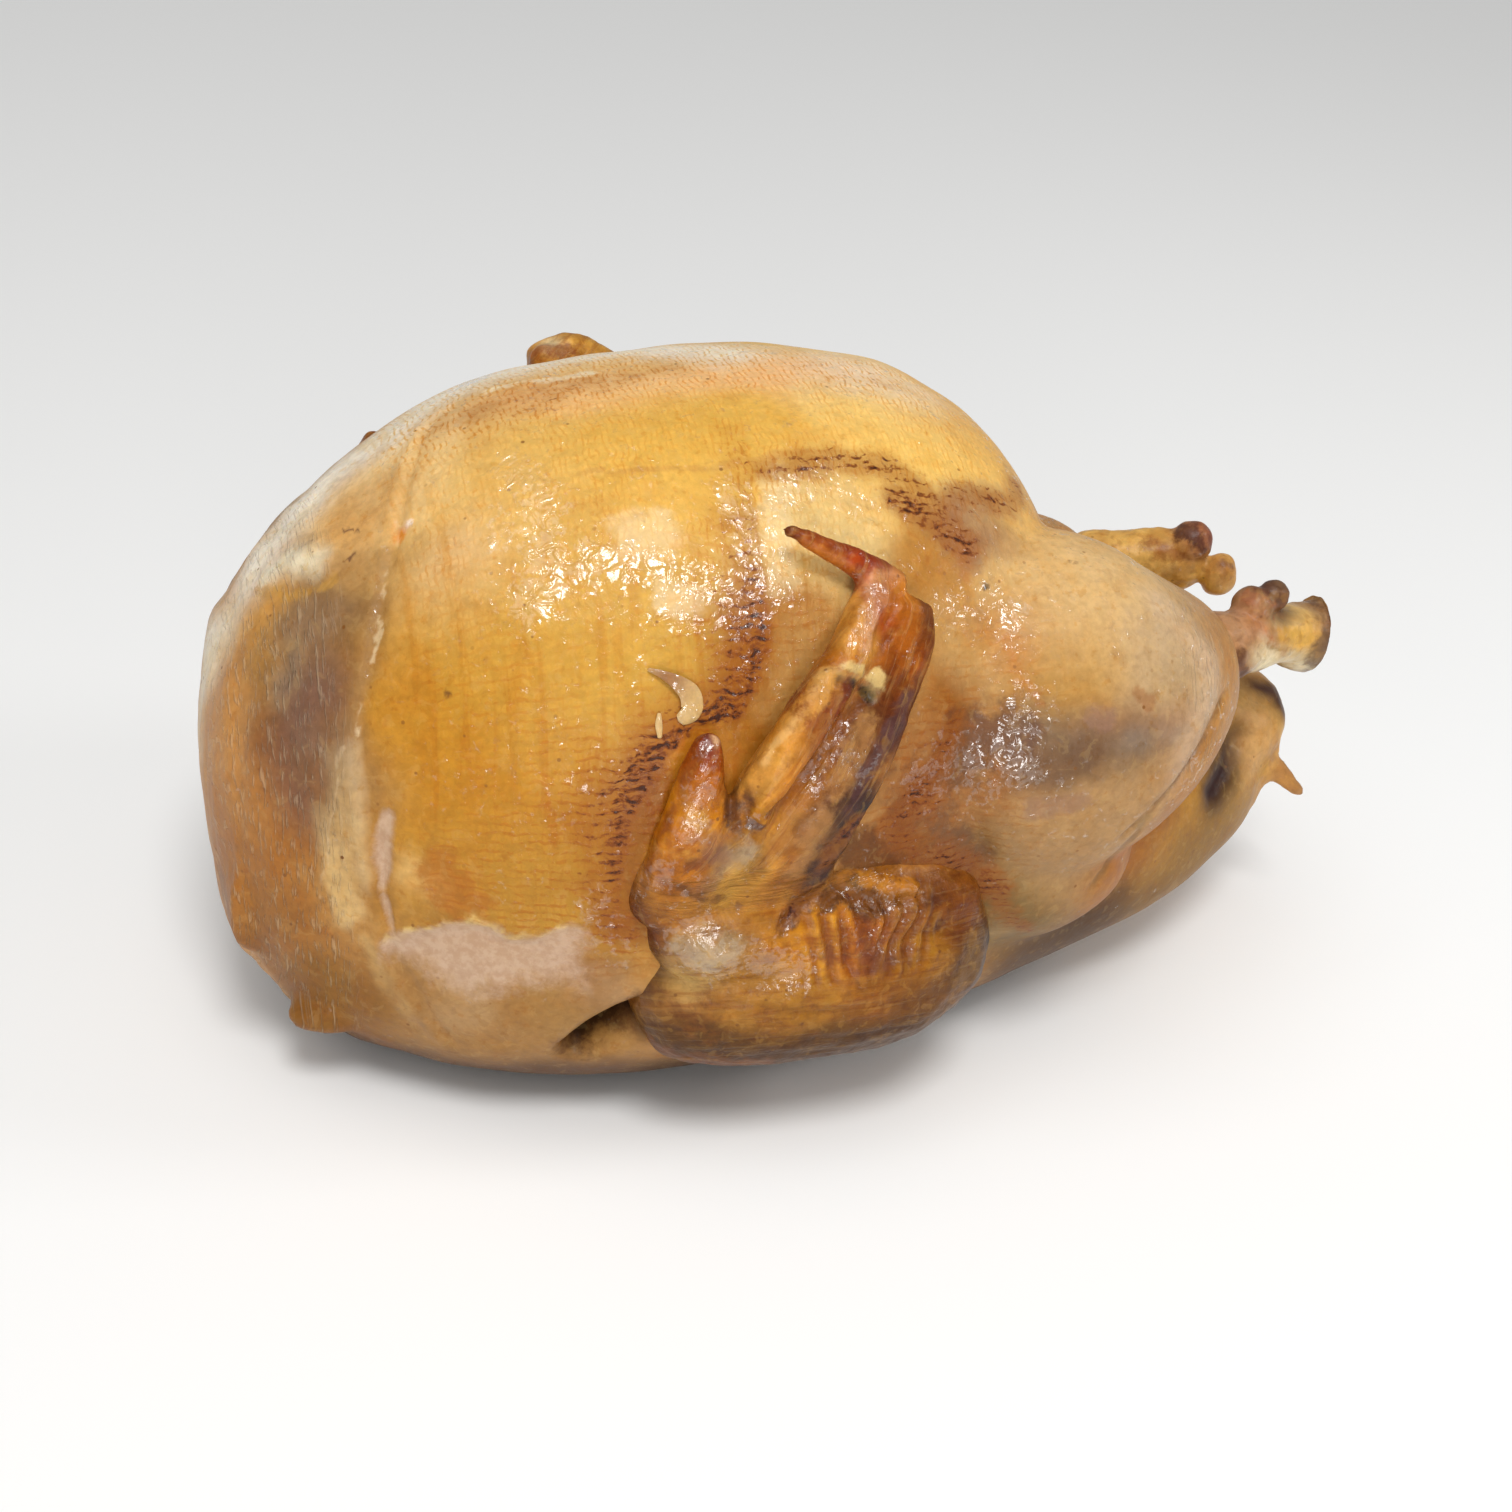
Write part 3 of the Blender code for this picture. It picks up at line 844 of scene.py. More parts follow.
creasePath = (
    (-112, 10, 198), (-118, 7, 195), (-127, -11, 190), (-132, -24, 184), (-135, -33, 177),
    (-138, -39, 171), (-141, -47, 162), (-143, -52, 155), (-146, -58, 143), (-148, -62, 132),
    (-147, -67, 120), (-146, -70, 109), (-144, -73, 96), (-143, -74, 83), (-143, -74, 72),
    (-141, -75, 65), (-134, -77, 52), (-125, -78, 36),
)
charPath = (
    (-37, -46, 202), (-40, -52, 199), (-40, -64, 190), (-41, -76, 177), (-41, -82, 168),
    (-45, -88, 158), (-50, -91, 150), (-61, -97, 148), (-68, -96, 142), (-74, -95, 134),
    (-79, -96, 126), (-81, -98, 114), (-82, -100, 102),
)
junctionPath = (
    (-34, -47, 202), (-12, -45, 203), (4, -46, 200), (11, -49, 197), (15, -53, 194), (21, -57, 189),
)
keelPath = ((-118, -2, 196), (-96, -4, 203), (-75, -1, 209), (-44, 8, 212), (-10, 2, 213), (12, -2, 211))
lipPath = ((22, -51, 193), (30, -48, 191), (38, -45, 189), (46, -41, 186), (52, -32, 186))
thighScorchPath = (
    (17, -90, 140), (9, -94, 124), (-2, -98, 112), (8, -97, 102), (18, -95, 97), (28, -93, 90),
    (38, -93, 82),
)
thighHemPath = ((38, -93, 80), (46, -92, 68), (54, -89, 62))
stripPath = (
    (-142, -71, 114), (-144, -72, 106), (-143, -73, 98), (-145, -74, 90), (-143, -75, 82),
    (-142, -76, 75),
)
lipOfTear = (
    (-143, -74, 72), (-138, -77, 77), (-133, -80, 80), (-128, -83, 84), (-119, -88, 87),
    (-111, -92, 82), (-102, -95, 84), (-96, -96, 88),
)
tearFloor = ((-144, 66), (-134, 63), (-126, 59), (-120, 58), (-113, 60), (-106, 64), (-97, 68))
pocketPath = ((-90, -92, 37), (-84, -95, 43), (-78, -98, 49), (-71, -103, 57))
thighTuckPath = ((82, -97, 107), (78, -95, 96), (77, -88, 82), (72, -90, 76))
rumpCrease = (
    (113, -72, 138), (107, -82, 136), (101, -88, 130), (96, -92, 124), (90, -95, 117),
    (82, -97, 111), (74, -98, 102),
)

# colour, path, width, amount, patchiness; a patchiness below 0 makes a soft coat
bodyStains = {
    # pale skin along the ridge's far edge, with a painted reflection of the white surroundings
    "creamRimReflection": ("f6ead4", ((-30, 18, 212), (-56, 33, 205), (-85, 31, 201), (-112, 27, 194),
        (-127, 20, 191), (-136, 20, 184), (-146, 20, 176), (-157, 12, 167), (-169, 4, 154)),
        11, 0.95, -1),
    "keelBand": ("b07a42", ((-114, 4, 198), (-98, 6, 203), (-75, 6, 209), (-44, 12, 211)), 9, 0.25, -1),
    "keelCream": ("f0dcb6", ((-100, 12, 202), (-84, 10, 206), (-72, 9, 209)), 2.4, 0.7, 0.3),
    "neckFat": ("e6dcc0", ((-165, -9, 157), (-160, -12, 162), (-155, -19, 166)), 4, 0.8, -1),
    "neckFatEdge": ("bd8a38", ((-169, -9, 153), (-162, -22, 157), (-155, -28, 162), (-151, -29, 166)),
        2.0, 0.6, 0.4),
    "neckSpeckA": ("5c3526", ((-146, -17, 175), (-143, -20, 175)), 1.1, 0.8, 0.2),
    "neckSpeckB": ("5c3526", ((-147, -27, 170), (-145, -26, 172)), 1.1, 0.8, 0.2),
    "flapEdge": ("f0d9ae", ((-133, -26, 182), (-135, -33, 177), (-138, -39, 171), (-141, -47, 162),
        (-143, -52, 155), (-146, -57, 144), (-149, -61, 134)), 0.8, 0.4, 0.2),
    "flapShade": ("96703f", ((-137, -33, 175), (-141, -44, 164), (-145, -53, 152), (-149, -59, 140),
        (-151, -62, 128), (-150, -66, 112)), 2.2, 0.6, -1),
    "foldA": ("ecd3a0", ((-150, -62, 130), (-150, -65, 119), (-149, -69, 104), (-148, -71, 90)),
        2.2, 0.35, -1),
    "foldB": ("e8cc92", ((-154, -60, 128), (-154, -64, 113), (-153, -67, 97), (-151, -70, 80)),
        2.6, 0.35, -1),
    "foldC": ("e2c488", ((-158, -61, 110), (-157, -65, 95), (-154, -68, 76)), 2.8, 0.5, -1),
    "foldD": ("d9b878", ((-149, -73, 70), (-146, -75, 58), (-138, -77, 44)), 2.4, 0.45, -1),
    "pitRim": ("b89a6c", ((-168, -43, 138), (-163, -37, 147)), 3.6, 0.4, -1),
    "pit": ("6c584a", ((-167, -41, 139), (-164, -38, 145)), 2.4, 0.7, -1),
    "greyPatch": ("8b7058", ((-160, -33, 155), (-160, -44, 144), (-159, -53, 132)), 9, 0.5, -1),
    "plumPatch": ("6b473a", ((-157, -50, 138), (-158, -56, 124), (-162, -57, 110)), 9, 0.6, -1),
    "whiteLine": ("d6ba94", ((-152, -60, 131), (-154, -64, 115), (-157, -64, 99), (-160, -63, 81)),
        0.7, 0.3, 0.4),
    # pale skin at the neck flap's edge, with a painted rim reflection of the white surroundings
    "flapBrimReflection": ("e4d0ae", ((-180, -6, 140), (-184, -5, 130), (-188, 1, 117), (-191, -2, 103),
        (-191, 4, 90)), 8, 0.65, -1),
    "flapBrimLowReflection": ("dcc49a", ((-191, 8, 80), (-190, -2, 70), (-187, 2, 60)), 6, 0.45, -1),
    "flapFoot": ("7c4c1c", ((-184, -30, 66), (-176, -46, 50), (-160, -54, 30), (-144, -62, 20)),
        8, 0.6, 0.4),
    # painted highlights: broad milky sheen on the upper breast
    "milkySheenA": ("f2deb4", ((-72, -58, 190), (-67, -59, 190)), 7, 0.35, 0.0),
    "milkySheenB": ("f0d9ae", ((-67, -72, 179), (-62, -74, 177)), 4, 0.4, 0.0),
    "creamValley": ("ecd2a0", ((-31, -49, 202), (-33, -57, 197), (-34, -66, 190), (-35, -74, 183)),
        5, 0.4, 0.4),
    "creamShelf": ("e2c484", ((-24, -60, 196), (-18, -66, 191), (-12, -70, 188)), 9, 0.5, -1),
    "creamTuck": ("dcbc78", ((-30, -82, 170), (-34, -86, 160), (-38, -89, 152)), 6, 0.25, -1),
    "streakA": ("b4741a", ((-130, -66, 150), (-130, -70, 143), (-132, -73, 128)), 2, 0.5, 0.5),
    "streakB": ("bc7c1e", ((-106, -70, 166), (-108, -75, 157), (-109, -79, 148)), 2, 0.4, 0.5),
    "streakC": ("b8781c", ((-118, -78, 138), (-120, -83, 122), (-121, -86, 108)), 3, 0.4, 0.5),
    "topStreak": ("bc8540", ((-90, -38, 198), (-57, -44, 202), (-22, -42, 205), (-7, -41, 204)),
        1.5, 0.45, 0.6),
    "speckA": ("6a4020", ((-116, -70, 159), (-113, -70, 160)), 1.2, 0.8, 0.4),
    "speckB": ("6a4020", ((-125, -69, 150),), 1.2, 0.8, 0.2),
    "orangeNet": ("a8661a", ((-129, -81, 101), (-125, -84, 96), (-121, -87, 92)), 8, 0.8, 0.3),
    "tearShade": ("9c7f66", ((-143, -74, 69), (-133, -80, 77), (-119, -88, 84), (-103, -95, 81)),
        2.4, 0.5, 0.4),
    "tearLip": ("e0bc6c", lipOfTear, 1.2, 0.8, 0.4),
    "tearTeeth": ("e6cb86", ((-121, -87, 87), (-121, -88, 82)), 1.2, 0.8, 0.2),
    "pad": ("b48a5a", ((-91, -97, 67), (-86, -99, 69), (-80, -99, 65), (-77, -100, 62)), 6, 0.5, -1),
    # painted shade in and around the deep pocket between breast and wing
    "pocketRimShade": ("5c3010", pocketPath, 7, 0.6, 0.4),
    "pocketShadow": ("120602", pocketPath, 4.4, 1.0, 0.0),
    "junctionBrown": ("7c5238", ((6, -54, 195), (13, -58, 190), (19, -62, 185), (23, -65, 180)),
        6, 0.35, 0.6),
    "lipPlum": ("8f7262", lipPath, 7, 0.3, 0.4),
    "orangeMark": ("ac6626", ((23, -62, 183), (21, -66, 179), (21, -69, 176)), 2.4, 0.5, 0.5),
    "blackSpot": ("2a221e", ((29, -68, 173), (31, -68, 174)), 1.3, 0.95, 0.0),
    "spotA": ("5e3c24", ((59, -60, 176), (61, -60, 175)), 0.9, 0.8, 0.0),
    "spotB": ("7a4a28", ((73, -73, 168), (71, -78, 164)), 0.9, 0.7, 0.4),
    "redSpot": ("8e5426", ((72, -92, 148), (76, -93, 146)), 2.6, 0.5, 0.4),
    "orangeLine": ("b4722c", ((33, -78, 161), (37, -88, 151), (41, -92, 146)), 2, 0.5, 0.5),
    "paleStreak": ("dcc48c", ((18, -81, 159), (23, -82, 154), (26, -84, 151)), 6, 0.25, -1),
    "greyStreak": ("6c5844", ((40, -94, 138), (50, -97, 136), (60, -98, 134), (70, -98, 135)),
        8, 0.75, -1),
    "greyTail": ("85705c", ((70, -98, 136), (78, -97, 134), (88, -94, 133)), 3.5, 0.6, -1),
    "plumSpotA": ("8a6858", ((58, -96, 143), (61, -96, 142)), 3.5, 0.5, 0.3),
    "plumSpotB": ("8f6a56", ((41, -99, 116), (54, -101, 119)), 4, 0.5, 0.5),
    "thighRust": ("6a442a", ((5, -95, 123), (14, -93, 127), (22, -90, 134), (31, -92, 137)),
        10, 0.9, 0.4),
    "thighRustLow": ("704a2c", ((3, -97, 115), (16, -95, 105), (28, -93, 95)), 8, 0.8, 0.5),
    "thighEdge": ("5a2810", ((16, -88, 142), (9, -94, 126), (-3, -98, 117), (2, -98, 109),
        (12, -96, 102)), 2.4, 0.6, 0.6),
    "thighTuck": ("75562e", thighTuckPath, 1.6, 0.5, 0.3),
    # brown skin in the pit between wing and thigh, deepened with painted shade
    "wingPitBrownShade": ("5a2c04", ((-12, -101, 106), (-4, -100, 101), (4, -102, 96), (14, -103, 90)),
        9, 0.85, 0.1),
    "hemPale": ("cdb090", ((86, -70, 165), (97, -77, 157), (103, -79, 149), (99, -86, 141),
        (92, -92, 130), (90, -95, 118)), 6, 0.5, -1),
    "tailRim": ("b47c33", ((114, -70, 137), (110, -80, 130), (105, -88, 120), (99, -92, 110)),
        8, 0.8, -1),
    "rumpCrease": ("74502a", rumpCrease, 1.5, 0.6, 0.3),
    "lowCream": ("b08c58", ((14, -97, 94), (24, -99, 84), (34, -98, 72), (44, -90, 60)), 5, 0.6, -1),
    "goldShade": ("6e4410", ((2, -98, 110), (12, -98, 100), (20, -99, 92), (30, -98, 80)), 7, 0.8, -1),
    "breastPale": ("e4bc78", ((-136, -77, 98), (-131, -80, 96)), 5, 0.5, -1),
    "tailStreak": ("2e140e", ((158, -26, 84), (152, -31, 80), (146, -38, 77), (139, -44, 74)),
        6.8, 1.0, -1),
    "tailEdge": ("4e2c1c", ((174, -8, 92), (182, -7, 88), (182, -12, 84)), 5.0, 1.0, -1),
    "tailLobe": ("c8985c", ((167, -20, 87), (168, -24, 81), (163, -28, 76)), 8, 0.8, -1),
    "tailFlap": ("95653a", ((177, -21, 72), (184, -22, 64), (192, -23, 58)), 5, 0.6, 0.4),
    "thighPlum": ("5c3e2c", ((38, -99, 128), (46, -99, 127), (54, -98, 131)), 6, 0.7, -1),
    "orangeFlake": ("d27e1c", ((-134, -30, 181), (-132, -31, 178)), 2.6, 0.95, 0.0),
    "flakeWhite": ("f4e2cc", ((-131, -29, 183),), 1.6, 0.9, 0.0),
    "valleyShade": ("7a3c04", ((-74, -95, 134), (-77, -97, 124), (-79, -98, 112), (-78, -99, 104)),
        5, 0.65, -1),
    "tornBrim": ("8e5c24", ((-127, -84, 86), (-119, -87, 83)), 5, 0.5, -1),
    "padTan": ("8e5c30", ((-98, -96, 75), (-90, -98, 75)), 6, 0.5, -1),
    "bottomShade": ("4a2808", ((-150, -50, 17), (-125, -66, 20), (-100, -81, 21), (-79, -86, 22)),
        9, 0.8, -1),
    # painted shade low in the crease between breast and wing
    "creaseFootShade": ("4a2404", ((-82, -96, 46), (-74, -99, 50), (-72, -99, 47)), 5, 0.7, -1),
}

# ridges, and grooves below 0: height in millimetres, path, width and perhaps how much it tapers
bodyRidges = {
    "neckFat": (1.4, ((-165, -9, 157), (-159, -12, 163), (-153, -21, 167)), 6.0),
    "hem": (1.1, bodyStains["hemPale"][1][1:5], 4.0),
    "thighTuck": (-0.8, thighTuckPath, 1.8),
    "rumpCrease": (-1.6, rumpCrease, 2.2, 0.3),
    "rumpLip": (0.7, np.array(rumpCrease) - (4, -1, 0), 3.5),
    "tailStreak": (-1.6, bodyStains["tailStreak"][1], 3.0),
    "lipOfTear": (0.7, lipOfTear, 1.6),
}
# scorches on both sides and on the near one: how dark, path, width and perhaps taper
bodyScorches = {
    "junction": (0.7, junctionPath, 6.0, 0.2),
    "junctionFoot": (0.85, ((4, -54, 196), (14, -58, 190), (24, -62, 183)), 6.5),
    "lip": (0.65, lipPath, 6.0),
    "shoulder": (0.6, ((-90, -97, 104), (-85, -99, 91), (-79, -100, 86)), 6.0),
}
nearScorches = {
    "thigh": (0.72, thighScorchPath, 8.0, 0.2),
    "thighHem": (0.62, thighHemPath, 5.0, 0.3),
}
# how dark the scorch down the valley is at each height
valleyHeights = (100, 120, 142, 172, 186, 204)
valleyScorch = (0.62, 0.85, 1.0, 0.9, 0.6, 0.36)


def bodyRelief(points):
    # in millimetres outwards from the blended forms: noise, plus exp(-(gap / width)^2) along paths
    x, y, z = points.T
    near = smoothStep(10.0, -20.0, y)
    height = smoothStep(0.0, 25.0, z) * layered(points, ((0.9, 34.0, 4), (0.35, 13.0, 5)))
    folds = layered(points, ((1.0, (7.0, 7.0, 60.0), 6), (0.6, (3.6, 3.6, 32.0), 7)))
    height += smoothStep(-138.0, -156.0, x) * 0.7 * folds
    crease = np.array(creasePath, float)
    onFlap = x < np.interp(z, crease[::-1, 2], crease[::-1, 0])
    height -= 1.1 * stroke(points, crease, 2.0)
    height += 0.9 * stroke(points, crease - (3, 0, 0), 3.0) * onFlap
    for name in ("foldA", "foldB", "foldC", "foldD", "whiteLine"):
        path, width = bodyStains[name][1:3]
        height += 0.8 * stroke(points, path, 1.3 * width)
    sag = smoothStep(70.0, 20.0, z) * smoothStep(-60.0, -100.0, x)
    height += 0.5 * sag * noise(points, (16.0, 16.0, 5.0), 8)
    height -= 14.0 * stroke(points, pocketPath, 5.5, 0.3) * near
    height -= 1.6 * dab(points, (-165.5, -39.5, 142), (2.5, 3.5, 4.5)) * near
    onTail = smoothStep(158.0, 172.0, x) * smoothStep(40.0, 55.0, z)
    height += onTail * layered(points, ((0.8, 7.0, 9), (0.5, 3.5, 10)))
    height -= 0.8 * smoothStep(0.5, 0.75, tornDepth(points))
    return height + raised(points, bodyRidges)


def tornDepth(points):
    # 0 far off, 0.5 at the edge of the bare patches, 1 well inside: a firm lip above, fading below
    x, y, z = points.T
    near = smoothStep(-45.0, -60.0, y)
    wobble = layered(points, ((2.0, 5.0, 11), (1.5, 11.0, 12)))
    lip = np.array(lipOfTear, float)
    floor = np.array(tearFloor, float)
    below = (np.interp(x, lip[:, 0], lip[:, 2]) + 0.5 * wobble - z) / 5.0
    above = (z + wobble - np.interp(x, floor[:, 0], floor[:, 1])) / 18.0
    ends = np.minimum((x + 145.0) / 5.0, (-90.0 - x + wobble) / 9.0)
    patch = 0.5 + 0.5 * np.minimum(np.minimum(below, above), ends)
    stripWidth = 1.6 + 1.2 * smoothStep(88.0, 104.0, z) + 1.2 * noise(points, 7.0, 19)
    strip = 1.0 - 0.5 * strokeGap(points, stripPath)[0] / stripWidth
    return np.clip(np.maximum(patch, strip), 0.0, 1.0) * near


def besidePath(points, path, before, after):
    # a band along a path that climbs in z: soft towards -X over one width, crisper towards +X
    path = np.array(path, float)[::-1]
    gap = strokeGap(points, path)[0]
    ahead = points[:, 0] > np.interp(points[:, 2], path[:, 2], path[:, 0])
    return np.exp(-(gap / np.where(ahead, after, before)) ** 2)


def bodyMarks(points):
    # red: scorching, green: net, blue: freckles
    x, y, z = points.T
    near = y < 0
    fade = np.interp(z, valleyHeights, valleyScorch)
    char = darkest(points, fade * besidePath(points, charPath, 15.0, 1.6), nearScorches)
    char = np.maximum(char, 0.85 * dab(points, (7, -95, 120), (10, 12, 15))) * near
    char = darkest(points, char, bodyScorches)
    keel = 0.42 * stroke(points, keelPath, 9.0) * (0.7 + 0.5 * noise(points, 12.0, 18))
    far = 0.6 * stroke(folded(points), charPath, 10.0, 0.3)
    far += 0.4 * stroke(folded(points), thighScorchPath, 11.0)
    char = np.maximum(np.maximum(char, keel), far * ~near)
    breast = smoothStep(-140.0, -125.0, x) * smoothStep(60.0, 30.0, x) * smoothStep(50.0, 90.0, z)
    net = breast * (0.55 + layered(points, ((0.5, 26.0, 12), (0.3, 10.0, 16))))
    net += 0.9 * stroke(points, ((-114, 2, 198), (-75, 3, 209), (-27, 3, 213), (10, 0, 212)), 14.0)
    net += 0.6 * char
    freckle = 0.5 + 0.5 * noise(points, 24.0, 13) + 0.5 * smoothStep(-128.0, -145.0, x)
    return channels(points, char, np.clip(net, 0.0, 1.0), freckle)


# how strongly, along what and how widely a wet, puckered film lies on the skin
filmPaths = (
    (1.0, ((-101, -31, 198), (-95, -43, 194), (-97, -53, 187), (-100, -61, 179), (-103, -65, 174)), 6),
    (0.7, ((-108, -43, 190), (-109, -50, 185)), 4),
    (1.0, ((-101, -65, 174), (-94, -62, 181), (-83, -62, 185), (-73, -65, 184), (-63, -69, 183),
        (-56, -72, 180), (-51, -75, 177)), 6),
    (1.0, ((-44, -54, 197), (-42, -59, 193), (-39, -68, 186), (-38, -74, 179)), 7),
    (0.8, ((-70, -74, 175), (-61, -77, 173), (-53, -79, 171), (-42, -78, 174)), 4),
    (0.9, ((-33, -55, 197), (-25, -53, 199), (-15, -50, 200), (-11, -55, 197), (-8, -57, 195)), 6),
    (1.0, ((14, -75, 170), (24, -75, 166), (36, -73, 166), (29, -70, 170)), 6),
    (1.0, ((37, -90, 148), (39, -92, 145), (34, -95, 138), (32, -93, 134), (36, -97, 128)), 6),
    (0.7, ((8, -95, 128), (20, -92, 130), (26, -94, 122)), 8),
    (0.6, ((-88, -99, 96), (-82, -100, 80)), 6),
)


def fromPole(points):
    # 0 on the bird's long axis, where the wrap pinches, and 1 from 34 mm off it
    return smoothStep(12.0, 34.0, np.hypot(points[:, 1], points[:, 2] - wrapHeight))


def bodyLay(points):
    # red: bare meat, green: wet film, blue: how puckered it is
    uneven = 4.0 * (points[:, 1] > 0) * noise(points, 30.0, 17)
    film = 0.22 + 0.16 * noise(points, 16.0, 14)
    film *= smoothStep(70.0, 120.0, points[:, 2]) * smoothStep(-150.0, -120.0, points[:, 0])
    film = np.clip(wettest(folded(points) + uneven[:, None], film, filmPaths), 0.0, 1.0)
    pucker = np.clip(0.12 + film, 0.0, 1.0) * fromPole(points)
    return channels(points, tornDepth(points), film, pucker)


def bodyVeil(points):
    # red: thin pale wrinkles on the neck flap and above the ankle, green: streaks on the breast
    x, _, z = points.T
    neck = smoothStep(-146.0, -158.0, x) * fromPole(points)
    ankle = smoothStep(84.0, 100.0, x) * smoothStep(110.0, 125.0, z)
    breast = smoothStep(-140.0, -130.0, x) * smoothStep(0.0, -30.0, x)
    streaks = breast * smoothStep(80.0, 110.0, z) * smoothStep(200.0, 175.0, z)
    return channels(points, np.maximum(neck, ankle), 0.15 + 0.5 * streaks)


def makeBody(material):
    # trunk, legs, tail and neck lobes blended, each point moved out along its normal by the relief
    forms = [trunkForm()]
    for side, drumstick in ((nearSide, nearDrumstick), (farSide, farDrumstick)):
        forms += [limbForm(thighStations, side), limbForm(drumstick, side)]
    forms.append(limbForm(tailStations, nearSide, away=(0.0, 0.0, 1.0)))
    forms.append(limbForm(tailFlap, nearSide))
    forms += [ballForm(*lobe) for lobe in neckLobes]
    body = blendedSkin("bodySkin", forms, bodyLook["grain"], bodyLook["easing"])
    points, normals = readMesh(body)
    writePoints(body, points + normals * bodyRelief(points)[:, None])
    tint = mixedTint(points, bodyLook["base"], bodyDabs)
    # the far side takes the near one's stains, mirrored unevenly; the seam runs beside the ridge
    mirrored = points * (1.0, -1.0, 1.0) + bodyLook["farWander"] * drift(points, 61, (1.0, 40.0, 0))
    seam = 30.0 + 20.0 * smoothStep(150.0, 165.0, points[:, 2:3])
    places = np.where(points[:, 1:2] < seam, points, mirrored)
    paintSkin(body, places, tint, bodyStains, bodyLook["wander"], bodyMarks(points),
              bodyLay(points), bodyVeil(points))
    finishPiece(body, birdWrap(points), material)
    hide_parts("turkey")


# the wing's tables are laid out like the body's; both wings share them
wingShape = {
    "grain": 0.95,
    "easing": 10,
    "base": "9a6228",
    "wander": 1.0,
    "dabWander": 3.0,
    "strandTint": (1.0, 1.25, 1.6),       # how much strands and folds change red, green and blue
    "foldTint": (0.7, 1.1, 1.6),
}
wingDabs = {
    "tipDark": ("ae5e16", (-30, -74, 196), 6),
    "tipRoot": ("953202", (-14, -80, 189), 5),
    "tipSheen": ("c88e64", (-9, -84, 184), 4),
    "topMid": ("b26608", (-5, -85, 181), 4),
    "topRight": ("943404", (5, -75, 176), 5),
    "edgeBrown": ("663004", (5, -88, 170), 5),
    "topAmber": ("864002", (-3, -92, 167), 6),
    "topOrange": ("9c3c02", (-11, -89, 177), 4),
    "topSheen": ("c88c3a", (-17, -93, 174), 4),
    "topLeft": ("c48430", (-21, -92, 176), 5),
    "jointGold": ("a86212", (-25, -97, 169), 4),
    "jointGrey": ("703808", (-9, -98, 159), 5),
    "plumSide": ("4e1e04", (-5, -98, 151), 6),
    "tanSide": ("5c3010", (-13, -101, 150), 4),
    "midGold": ("562404", (-19, -104, 144), 5),
    "midTan": ("884408", (-25, -104, 146), 4),
    "spotYellow": ("6e2001", (-34, -103, 157), 4),
    "ridgeUpper": ("ba7418", (-39, -104, 154), 4),
    "ridgeLower": ("c48a38", (-46, -107, 144), 5),
    "amberUpper": ("ae6404", (-37, -108, 137), 5),
    "amberLower": ("b27206", (-43, -110, 129), 5),
    "lowTan": ("884c0e", (-26, -106, 136), 5),
    "plateAmber": ("a87030", (-36, -108, 126), 6),
    "plateLow": ("74420e", (-29, -107, 124), 5),
    "greyLow": ("260a02", (-20, -108, 128), 5),
    "handFoot": ("9c5e18", (-38, -110, 110), 7),
    "thumbTip": ("762002", (-59, -106, 149), 4),
    "thumbTop": ("9a4202", (-60, -105, 143), 5),
    "thumbMid": ("b26c06", (-63, -109, 132), 6),
    "thumbLow": ("b46c06", (-74, -104, 124), 6),
    "wristTan": ("a25c06", (-69, -110, 116), 6),
    "wristPale": ("be8c38", (-50, -110, 111), 7),
    "thumbFoot": ("a86c20", (-66, -110, 100), 7),
    "wristGold": ("9c641e", (-41, -109, 100), 7),
    "footAmber": ("521c01", (-77, -103, 90), 8),
    "footPale": ("56340e", (-78, -100, 74), 8),
    "blisterMid": ("9c703a", (-58, -112, 85), 7),
    "blisterLow": ("b49052", (-60, -110, 77), 6),
    "forearmGold": ("b47212", (-30, -114, 86), 8),
    "massLeft": ("98641a", (-46, -112, 72), 8),
    "massCentre": ("925f16", (-31, -116, 64), 8),
    "massRight": ("804a06", (0, -114, 67), 9),
    # painted shade along the wing's lower edge
    "massLowShade": ("503008", (-53, -112, 46), (34, 12, 8)),
    "massDownShade": ("4a2c08", (-10, -112, 44), (34, 12, 8)),
    "fanOrange": ("9c5204", (-15, -112, 83), 6),
    "bandPlum": ("2e140a", (-12, -106, 95), 4),
    "bumpGold": ("965804", (-8, -102, 100), 4),
    "elbowTop": ("6e3802", (22, -103, 82), 7),
    "elbowTan": ("905c14", (13, -110, 72), 7),
    "elbowEdge": ("2d1101", (28, -104, 68), 8),
}

farWingTints = (
    ("c8963c", (-14, -80, 188), 15), ("e6cfa0", (-20, -77, 194), 4),
    ("7a4018", (-29, -76, 189), 4), ("c08a40", (-64, -74, 188), 12),
)
trailingPath = (
    (1, -93, 139), (-3, -95, 132), (-6, -97, 127), (-12, -102, 123), (-19, -107, 122),
    (-24, -108, 116), (-25, -108, 110),
)
bandLeft = ((-37, -111, 92), (-32, -110, 97), (-26, -108, 99))
bandRight = (
    (-23, -108, 96), (-19, -106, 99), (-14, -107, 95), (-8, -107, 93), (-1, -106, 92), (7, -104, 92),
)
bumpPath = ((-17, -104, 102), (-9, -104, 100), (-2, -104, 97), (6, -103, 93))
groovePath = ((-19, -100, 156), (-26, -103, 149), (-31, -106, 141), (-37, -108, 135), (-45, -110, 130))
boneRidgePath = (
    (-28, -100, 165), (-36, -103, 158), (-42, -105, 149), (-49, -105, 141), (-53, -106, 135),
)
plateRimPath = (
    (-2, -70, 185), (3, -69, 183), (9, -71, 178), (11, -73, 175), (10, -78, 168), (8, -82, 162),
    (5, -87, 155), (2, -90, 147), (0, -93, 140),
)
thumbRightPath = ((-55, -98, 147), (-54, -100, 141), (-54, -104, 134), (-53, -109, 127))
thumbLeftPath = (
    (-63, -103, 149), (-66, -104, 143), (-70, -106, 134), (-74, -105, 124), (-76, -104, 112),
)

